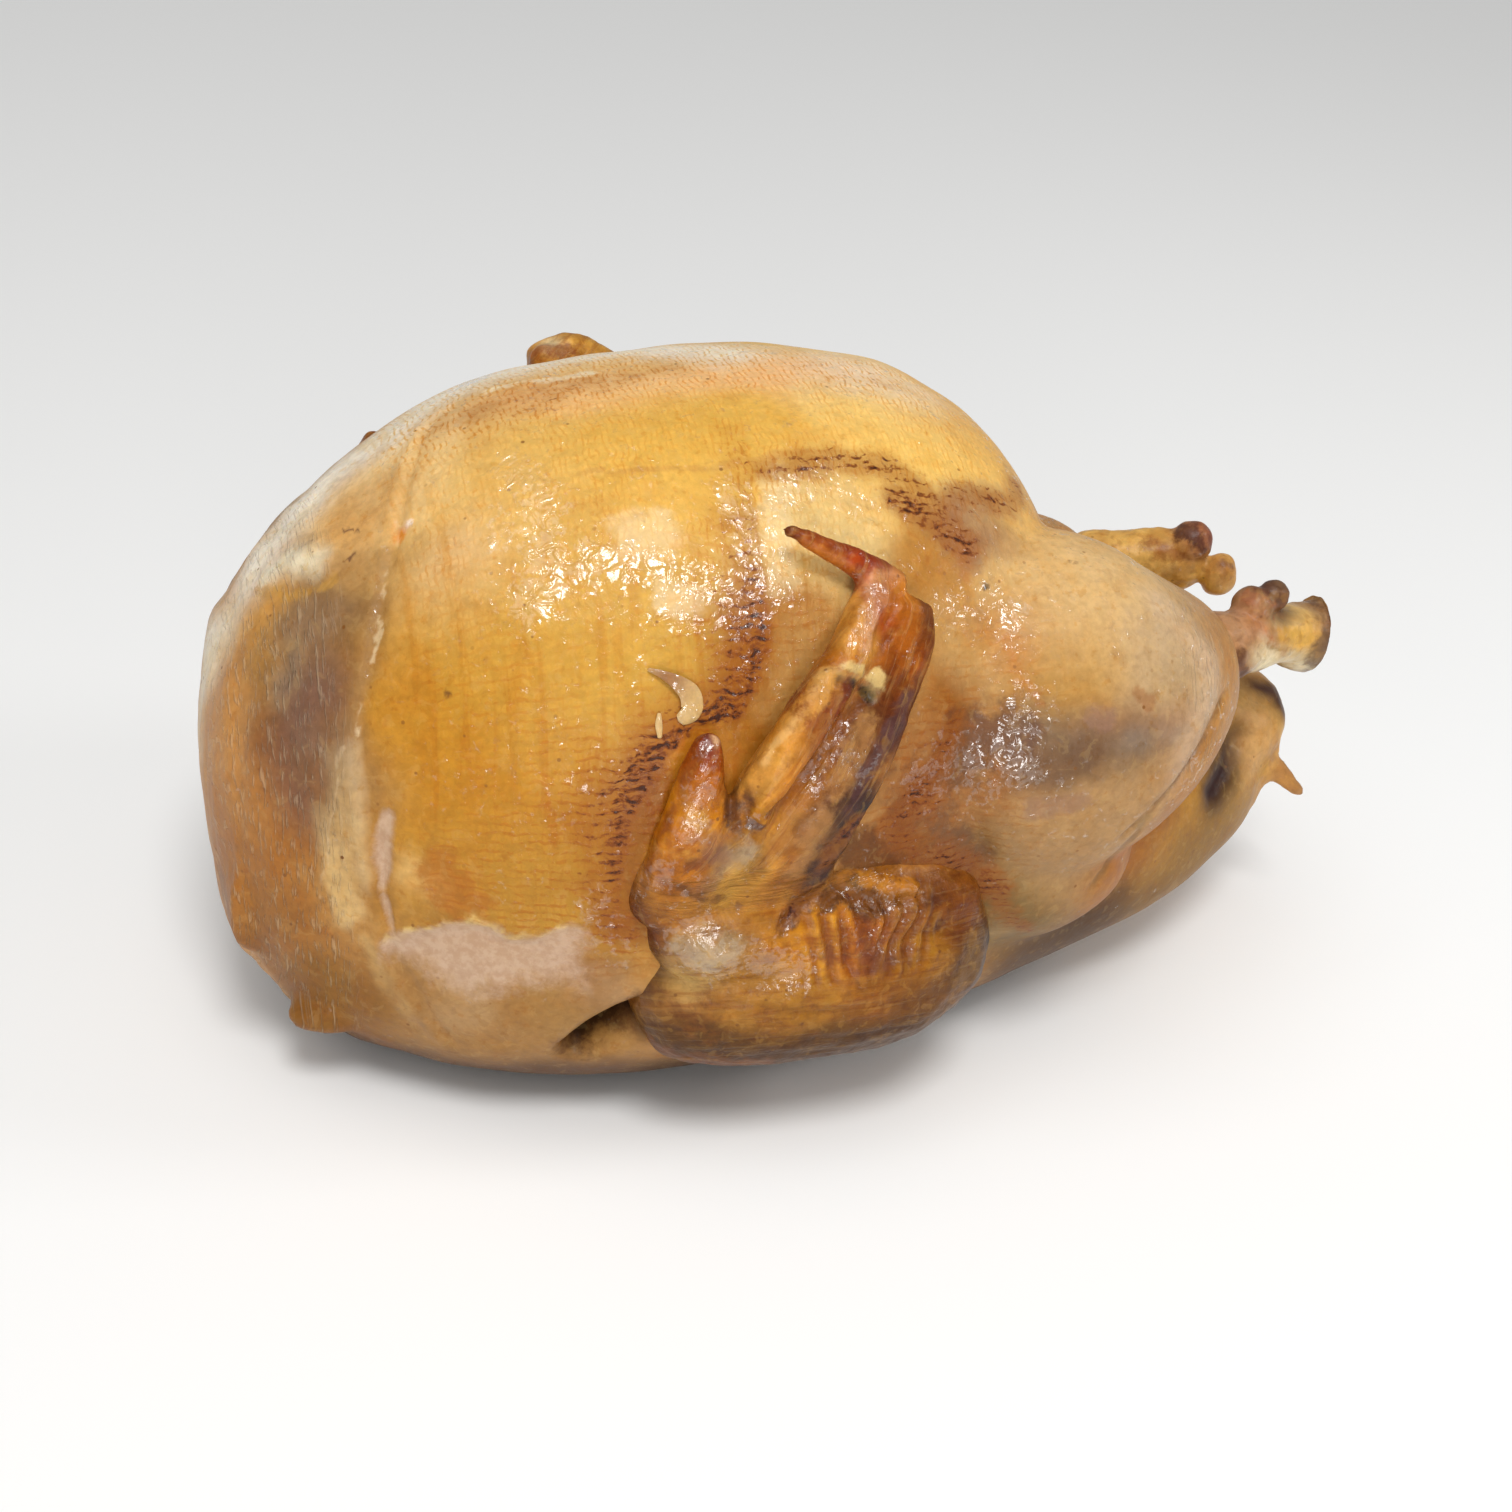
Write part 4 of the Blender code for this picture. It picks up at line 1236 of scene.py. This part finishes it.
wingStains = {
    "tipTop": ("72260c", ((-37, -72, 199), (-29, -73, 195), (-21, -75, 193), (-14, -77, 191),
        (-8, -78, 188)), 3.2, 0.65, 0.3),
    "tipEnd": ("4a180a", ((-37, -73, 198), (-34, -73, 197)), 3, 0.8, 0.2),
    "tipUnder": ("c06e24", ((-29, -76, 192), (-21, -79, 189), (-15, -82, 186)), 1.8, 0.6, 0.3),
    "plateSheen": ("cf9468", ((-11, -86, 183), (-13, -89, 180), (-15, -92, 176), (-18, -94, 172)),
        2.8, 0.6, 0.4),
    "plateOrange": ("a0540c", ((-9, -85, 183), (-5, -87, 178), (-3, -91, 171)), 4.5, 0.6, 0.3),
    "plateBrown": ("6a3a18", ((4, -84, 166), (0, -90, 158), (-4, -94, 150)), 5, 0.55, 0.4),
    "plateRim": ("3e140c", plateRimPath, 3.0, 0.9, 0.15),
    "joint": ("d8ba78", ((-30, -100, 165), (-27, -100, 168), (-20, -99, 167), (-13, -96, 162),
        (-14, -97, 158)), 2.3, 0.75, 0.6),
    "jointYellow": ("d09a24", ((-19, -99, 165), (-17, -99, 164)), 1.4, 0.8, 0.2),
    # painted shadow: the pits in the joint laid on near black
    "hole": ("140806", ((-26, -101, 165), (-22, -101, 164), (-19, -100, 162), (-15, -98, 158)),
        2.1, 0.95, 0.1),
    "boneRidge": ("c88a3a", boneRidgePath, 3.4, 0.8, 0.15),
    "bonePale": ("dcae6c", ((-32, -101, 162), (-38, -104, 155), (-46, -106, 145)), 1.2, 0.6, 0.3),
    "redPatch": ("6e220a", ((-24, -101, 162), (-25, -102, 156), (-28, -104, 149)), 2.4, 0.8, 0.3),
    "redGroove": ("5e1e0a", groovePath, 1.5, 0.85, 0.3),
    "amberStrip": ("a5661a", ((-24, -103, 152), (-30, -107, 140), (-38, -110, 130)), 2.6, 0.5, 0.5),
    "tanStrip": ("a87642", ((-17, -101, 151), (-22, -105, 141), (-25, -107, 133), (-30, -109, 122),
        (-36, -111, 110)), 4.2, 0.6, 0.5),
    "plumStrip": ("4e3030", ((-4, -96, 156), (-9, -101, 148), (-13, -104, 141), (-18, -106, 134),
        (-21, -108, 127)), 3.2, 0.7, 0.5),
    "trailingSoft": ("3a1e14", trailingPath, 8, 0.75, -1),
    "trailing": ("160a0c", trailingPath, 5, 1.0, 0.05),
    "trailingFoot": ("33242c", ((-25, -108, 110), (-27, -109, 104)), 4, 0.8, 0.4),
    "trailingRed": ("74200a", ((0, -93, 141), (-5, -96, 130), (-10, -100, 124)), 1.5, 0.7, 0.6),
    "thumb": ("ab6116", ((-62, -107, 140), (-65, -109, 131), (-68, -110, 124)), 6.5, 0.8, 0.25),
    "thumbGold": ("d29a3c", ((-66, -110, 131), (-62, -110, 126), (-66, -111, 120)), 3.5, 0.6, 0.7),
    "thumbLeft": ("783a10", thumbLeftPath, 2.2, 0.6, 0.5),
    "thumbRight": ("34140f", thumbRightPath, 3.4, 0.95, 0.2),
    "thumbCap": ("d8a878", ((-60, -101, 152), (-59, -102, 150)), 1.8, 0.9, 0.1),
    "thumbCapSide": ("46201e", ((-56, -100, 149), (-55, -101, 145)), 1.8, 0.85, 0.1),
    "wristRed": ("5a1c0e", ((-65, -111, 117), (-62, -111, 116), (-59, -111, 118)), 3.6, 0.7, 0.4),
    "wristGlass": ("b3a388", ((-50, -111, 119), (-55, -111, 113)), 4.0, 0.45, 0.3),
    "wristDark": ("4c2a20", ((-52, -108, 136), (-51, -110, 131), (-48, -111, 126)), 2.2, 0.85, 0.3),
    "wristPlum": ("6c4a40", ((-60, -111, 122), (-56, -111, 112), (-62, -111, 108)), 4.5, 0.5, 0.6),
    "wristSpots": ("5e3416", ((-67, -111, 109), (-64, -111, 106), (-56, -111, 102), (-50, -110, 100)),
        2.0, 0.7, 0.7),
    "footSpots": ("5c3418", ((-84, -99, 92), (-80, -101, 84), (-76, -103, 78)), 3.0, 0.6, 0.6),
    "blisterGlass": ("b6a884", ((-63, -111, 90), (-58, -113, 84), (-54, -113, 88)), 5, 0.3, 0.35),
    "spotA": ("3c1a10", ((11, -107, 80), (14, -106, 81)), 2.6, 0.8, 0.5),
    "spotB": ("401a0c", ((9, -104, 89), (14, -104, 88)), 2.2, 0.7, 0.4),
    "fanRust": ("6a3010", ((-26, -112, 88), (-13, -112, 84), (0, -110, 84), (8, -108, 84)),
        5, 0.4, 0.75),
    "fanPlum": ("5c3430", ((-22, -113, 80), (-12, -114, 77), (-2, -113, 76)), 4, 0.4, 0.8),
    "lowEdge": ("6e3a06", ((-88, -90, 38), (-70, -99, 42), (-57, -107, 40), (-39, -110, 38)),
        6, 0.6, 0.3),
    "endTan": ("b98848", ((26, -107, 62), (30, -104, 70)), 6, 0.2, 0.4),
    "bandLeft": ("2c1210", bandLeft, 3.2, 0.9, 0.1),
    "bandRight": ("240f10", bandRight, 3.0, 0.9, 0.1),
    "bumps": ("b87420", bumpPath, 3.0, 0.85, 0.15),
    "bandUpper": ("5c2c04", ((11, -102, 92), (-1, -104, 95), (-13, -100, 106)), 5, 0.6, -1),
    "handShade": ("6a4010", ((-51, -110, 121), (-47, -110, 115)), 4, 0.6, -1),
    "upperAmber": ("8a4402", ((-33, -104, 162), (-29, -104, 156)), 4.5, 0.6, -1),
    "midShade": ("6c3a0e", ((-30, -106, 140), (-28, -106, 134)), 4, 0.5, -1),
    "massShade": ("4a2804", ((4, -113, 60), (12, -113, 60), (19, -111, 62)), 6, 0.6, -1),
    # painted shade along the wing's lower edge
    "wingHemShade": ("4a2c0c", ((-72, -99, 47), (-50, -108, 44), (-20, -113, 44), (2, -113, 47)), 6, 0.6, -1),
}

wingFilm = (
    (1.0, ((-11, -86, 183), (-15, -92, 176), (-18, -94, 172)), 4),
    (0.9, ((-59, -102, 150), (-62, -107, 140), (-67, -110, 126)), 5),
    (1.0, ((-76, -103, 110), (-73, -108, 112)), 5),
    (0.9, ((-24, -103, 150), (-32, -107, 138)), 5),
    (1.0, ((-62, -112, 90), (-56, -113, 83)), 9),
    (0.9, ((-43, -113, 82), (-33, -113, 77)), 7),
    (0.7, ((-12, -106, 98), (2, -106, 94)), 7),
)

wingRidges = {
    "groove": (-1.5, groovePath, 2.0, 0.3),
    "boneRidge": (1.0, boneRidgePath, 3.0),
    "hole": (-2.4, ((-26, -101, 165), (-21, -101, 164), (-15, -98, 158)), 1.8),
    "joint": (1.2, ((-30, -100, 165), (-20, -100, 163)), 3.4),
    "wristCleft": (-1.5, ((-52, -107, 136), (-51, -110, 130), (-48, -111, 124)), 2.2),
}
wingScorches = {
    "trailing": (0.75, trailingPath, 4.6),
    "plateRim": (0.6, plateRimPath, 3.4),
    "bandLeft": (0.6, bandLeft, 3.6),
    "bandRight": (0.6, bandRight, 3.4),
    "groove": (0.5, groovePath, 2.6),
    "thumbRight": (0.5, thumbRightPath, 3.4),
}
# which way the hand's sinews run, and the folded arm's wrinkles
handSinews = (0.60, 0.28, 0.75)
armSinews = (1.0, 0.0, -0.06)


def wingFan(home):
    # folds running down from the scorched band, 1 on a fold and 0 between two
    x, _, z = home.T
    spreading = 0.25 * (96.0 - z) * np.sign(x + 8.0)
    place = smoothStep(-34.0, -26.0, x) * smoothStep(16.0, 8.0, x)
    place *= smoothStep(66.0, 80.0, z) * smoothStep(98.0, 91.0, z)
    turns = (x + spreading + 2.4 * noise(home, 8.0, 25)) / 5.6
    return 0.5 + 0.5 * np.cos(2 * math.pi * turns), place


def strands(places, along, *layers):
    # noises drawn out along one direction, each with a height, a length, a width and a seed
    along = unit(np.array(along, float))
    across = unit(np.cross(along, (0.0, 1.0, 0.0)))
    turned = places @ np.stack([along, across, np.cross(along, across)], axis=-1)
    return layered(turned, [(height, (length, width, width), seed)
                            for height, length, width, seed in layers])


def wingWrap(home):
    # millimetres across and along the sinews of the hand above, and of the folded arm below
    hand = smoothStep(96.0, 112.0, home[:, 2])
    along = home @ handSinews * hand + (1.0 - hand) * home[:, 0]
    across = home @ (0.78, -0.05, -0.62) * hand + (1.0 - hand) * home[:, 2]
    return np.stack([across + 0.5 * home[:, 1], along], axis=-1)


def wingStrands(home):
    # sinews along the hand, and wrinkles along the folded arm
    hand = smoothStep(98.0, 112.0, home[:, 2])
    onHand = strands(home, handSinews, (1.0, 26.0, 3.0, 35), (0.6, 14.0, 1.8, 36))
    onArm = strands(home, armSinews, (1.0, 32.0, 3.4, 37), (0.6, 20.0, 2.2, 38))
    return hand * onHand + (1.0 - hand) * onArm


def wingRelief(home):
    # noise, strands and the fan, plus exp(-(gap / width)^2) along paths and domes on single spots
    height = layered(home, ((0.5, 12.0, 21), (0.3, 5.0, 22), (0.12, 2.2, 28)))
    height += (0.35 - 0.1 * smoothStep(106.0, 92.0, home[:, 2])) * wingStrands(home)
    fold, place = wingFan(home)
    height += 1.7 * (fold - 0.5) * place
    height -= 1.8 * np.maximum(stroke(home, bandLeft, 2.4, 0.3), stroke(home, bandRight, 2.4, 0.3))
    ends = np.array(bumpPath, float)
    for bump in smoothRows(ends, travelled(ends), np.linspace(0.0, travelled(ends)[-1], 8)):
        height += 1.7 * dab(home, bump, 1.9)
    blister = 1.0 - (((home - (-58, -112, 86)) / (10.0, 12.0, 8.0)) ** 2).sum(axis=1)
    height += 1.8 * np.sqrt(np.clip(blister, 0.0, 1.0))
    height += 0.8 * noise(home, 4.0, 29) * stroke(home, trailingPath, 4.0)
    return height + raised(home, wingRidges)


def wingMarks(home):
    # red: scorching, blue: freckles
    fold, place = wingFan(home)
    char = 0.55 * (1.0 - fold) * place * (0.6 + 0.4 * noise(home, 6.0, 30))
    for spot in (0.42 * dab(home, (-58, -110, 108), (12.0, 8.0, 10.0)),
                 0.26 * smoothStep(0.1, 0.8, noise(home, 11.0, 26))):
        char = np.maximum(char, spot)
    return channels(home, darkest(home, char, wingScorches), 0.0, 0.6)


def makeWing(name, side, upperShift, shift, thumbShift, material):
    # the arm's limbs blended, each point moved out along its normal by the relief
    handTip = wingTip if side == nearSide else farWingTip
    forms = [limbForm(upperWing, side, upperShift)]
    forms += [limbForm(stations, side, shift) for stations in (forearm, handPlate, handRidge, handTip)]
    forms.append(limbForm(thumb, side, thumbShift))
    if side == farSide:
        forms.append(limbForm(farTipStations, side))
    wing = blendedSkin(name, forms, wingShape["grain"], wingShape["easing"])
    points, normals = readMesh(wing)
    home = points.copy()                              # where the place is on the near wing
    if side == farSide:
        home = (home - (np.array(shift) * (1, side, 1))) * (1, -1, 1)
    writePoints(wing, points + normals * wingRelief(home)[:, None])
    tint = mixedTint(home, wingShape["base"], wingDabs, wingShape["dabWander"])
    if side == farSide:
        for colour, place, radius in farWingTints:
            tint += dab(home, place, radius)[:, None] * (linear(colour) - tint)
    # strands and the fan's folds, lighter where they stand out
    arm = smoothStep(106.0, 92.0, home[:, 2])
    lift = np.clip((0.3 - 0.17 * arm) * wingStrands(home), -0.5, 0.45)[:, None]
    tint = tint * np.exp(lift * wingShape["strandTint"])
    fold, place = wingFan(home)
    tint = tint * np.exp(((fold - 0.62) * place)[:, None] * wingShape["foldTint"])
    film = np.clip(0.15 + 0.45 * noise(home, 8.0, 27), 0.0, 1.0) * smoothStep(66.0, 84.0, home[:, 2])
    plain = 1.0 - 0.95 * stroke(home, trailingPath, 7.0)      # dry and plain along the trailing edge
    film = wettest(home, film, wingFilm) * plain - 0.8 * (1.0 - plain)
    paintSkin(wing, home, tint, wingStains, wingShape["wander"], wingMarks(home),
              channels(home, 0.0, film, 0.3 + 0.7 * film),
              channels(home, (0.45 - 0.25 * arm) * plain, 0.6 * plain))
    finishPiece(wing, wingWrap(home), material)


nearShank = (
    (120, 41, 128, 14, 12), (136, 37, 128, 11.5, 11), (148, 33, 127.5, 10.5, 10.5),
    (160, 29.5, 126, 10, 10.5), (170, 27, 123, 11.5, 11.5), (178, 25.5, 121.5, 13, 12.5),
    (184, 25, 121, 13, 12.5),
)
nearShankCut = ((174.5, -26, 121), (0.97, -0.1, -0.17))       # a place on the cut, and which way it faces
farShank = (
    (112, 40, 118, 13, 12), (132, 34, 122, 12, 11), (150, 27, 125, 12, 10), (160, 22, 124, 9, 9),
)
shankShape = {"grain": 0.9, "easing": 5, "base": "b98c54", "wander": 1.0, "dabWander": 2.0}
nearShankDabs = {
    "meat": ("ac805a", (137, -36, 134), 10),
    "meatLow": ("7c4c24", (138, -42, 124), 9),
    "rust": ("a9591c", (143, -38, 134), 5),
    "flesh": ("d0ae72", (156, -36, 136), 8),
    "yolk": ("c8943c", (160, -38, 129), 7),
    "bone": ("9a7c50", (158, -40, 118), 8),
    "cutFace": ("624a44", (176, -28, 121), 7),
}
nearShankStains = {
    "boneStrip": ("e0d0aa", ((143, -44, 128), (148, -44, 124), (160, -40, 119), (170, -37, 114)),
        5, 0.9, -1),
    "boneShade": ("8f7440", ((146, -44, 131), (158, -42, 126), (170, -38, 121)), 1.1, 0.75, 0.4),
    "yolkSpot": ("d09c3c", ((154, -41, 132), (162, -39, 128)), 3.4, 0.6, 0.4),
    "orangeSpot": ("b4561c", ((144, -39, 133), (146, -40, 131)), 3, 0.8, 0.4),
    "meatEdge": ("7a3a20", ((149, -28, 139), (150, -36, 136), (150, -41, 130)), 1.4, 0.7, 0.4),
    "meatPink": ("a87c5c", ((136, -36, 137), (140, -38, 134)), 4, 0.6, 0.4),
    "ankleDark": ("4e2c1c", ((133, -50, 135), (134, -49, 128), (138, -46, 122)), 2.4, 0.75, 0.4),
    "endRim": ("5c3c26", ((175, -22, 134), (175, -34, 130), (173, -39, 121), (172, -34, 110)),
        3, 0.85, 0.4),
    "endShade": ("6e5238", ((172, -36, 128), (172, -38, 120)), 5, 0.8, 0.6),
    "lump": ("9c5e3a", ((142, -34, 143), (147, -35, 141)), 4, 0.8, 0.5),
    "lumpDark": ("54281c", ((144, -32, 147), (149, -34, 144)), 1.6, 0.7, 0.4),
    "ball": ("4a2a22", ((150, -30, 144), (154, -33, 142)), 8, 1.0, -1),
}
farShankDabs = {
    "leg": ("d8a858", (137, 32, 126), 14),
    "knuckle": ("9c5c40", (153, 22, 137), 6),
    "end": ("cb974e", (163, 18, 124), 8),
}
farShankStains = {
    "knuckleDark": ("4a2620", ((146, 22, 140), (151, 19, 141), (153, 17, 138)), 4.5, 0.85, 0.4),
    "knuckleRust": ("7c3a22", ((156, 20, 139), (158, 17, 136)), 3.4, 0.7, 0.4),
    "endRust": ("8a4c28", ((160, 16, 128), (163, 13, 126)), 3, 0.7, 0.5),
    "endTop": ("6b3a22", ((160, 14, 131), (164, 13, 130)), 3, 0.7, 0.5),
    "endCream": ("d2a464", ((160, 12, 125), (162, 11, 121)), 2.6, 0.7, 0.3),
    "yolk": ("d8a444", ((150, 20, 122), (156, 14, 118)), 7, 0.7, 0.5),
    "rustA": ("8c4c1a", ((138, 24, 132), (146, 20, 130)), 4, 0.7, 0.6),
    "rustB": ("7c4218", ((144, 18, 124), (152, 15, 126)), 3.4, 0.4, 0.6),
    # painted shade in the gap under the far shank's end
    "gap": ("4c2410", ((154, 12, 114), (160, 10, 114)), 2.6, 0.4, 0.4),
}


def makeShank(name, forms, dabs, stains, material, cut=None):
    # bone and knuckles blended and roughened, what lies beyond the cut moved back onto its plane
    shank = blendedSkin(name, forms, shankShape["grain"], shankShape["easing"])
    points, normals = readMesh(shank)
    points = points + normals * layered(points, ((0.6, 7.0, 31), (0.35, 3.0, 32)))[:, None]
    if cut is not None:                                # sawn off flat
        place, facing = np.array(cut, float)
        facing /= np.linalg.norm(facing)
        beyond = np.maximum((points - place) @ facing, 0.0)
        points -= (beyond - 0.35 * noise(points, 4.0, 34) * (beyond > 0))[:, None] * facing
    writePoints(shank, points)
    tint = mixedTint(points, shankShape["base"], dabs, shankShape["dabWander"])
    spotty = 0.32 * smoothStep(0.1, 0.7, noise(points, 7.0, 33))
    paintSkin(shank, points, tint, stains, shankShape["wander"], channels(points, spotty, 0.0, 0.5),
              channels(points, 0.0, 0.15, 0.2), channels(points))
    finishPiece(shank, birdWrap(points), material)


# loose bits of skin: centre line, half width and half thickness
skinBits = {
    "curl": ((-74, 83.2, 162.5, 0.5, 0.3), (-70, 85.2, 161.5, 1.2, 0.4), (-66, 87, 159.5, 2.2, 0.45),
             (-63, 88.6, 156.5, 3.0, 0.5), (-63, 90.2, 152.5, 3.0, 0.5), (-66.5, 90.8, 150, 1.6, 0.4)),
    "sliver": ((-71.5, 89, 152, 0.5, 0.3), (-71.7, 90.2, 149, 1.0, 0.4), (-71.5, 91.6, 145.5, 0.6, 0.3)),
}
skinBitTint = {"base": "d0ac72", "shade": ("96673c", (-69, -86, 161), 7.0)}


def makeBits(material):
    # oval sections carried along short centre lines, too thin to blend
    bits = joinedMesh("skinBits", [limbForm(stations, nearSide) for stations in skinBits.values()])
    bits.shade_smooth()
    piece = placed("skinBits", bits)
    points = readMesh(piece)[0]
    colour, place, radius = skinBitTint["shade"]
    amount = dab(points, place, radius)[:, None]
    tint = linear(skinBitTint["base"]) * (1 - amount) + linear(colour) * amount
    paintSkin(piece, points, tint, {}, 1.0, channels(points), channels(points, 0.0, 0.6),
              channels(points))
    finishPiece(piece, birdWrap(points), material)


makeStage()
breastMaterial = roastMaterial("roastSkin", breastLook)
wingMaterial = roastMaterial("crispWingSkin", wingLook)
makeBody(breastMaterial)
makeWing("nearWing", nearSide, (0, 0, 0), (0, 0, 0), (0, 0, 0), wingMaterial)
makeWing("farWing", farSide, (-25, -3, 0), (-50, -7, 0), (-64, -16, 9), wingMaterial)
makeShank("nearShank", [limbForm(nearShank, nearSide, cutOff=True), ballForm((152.5, -31, 142), 5.2),
                        ballForm((145, -32, 139), 7)],
          nearShankDabs, nearShankStains, wingMaterial, nearShankCut)
makeShank("farShank", [limbForm(farShank, farSide), ballForm((152, 23, 134.5), 7.5),
                       ballForm((163, 18, 123.5), (6.5, 7, 8))],
          farShankDabs, farShankStains, wingMaterial)
makeBits(breastMaterial)
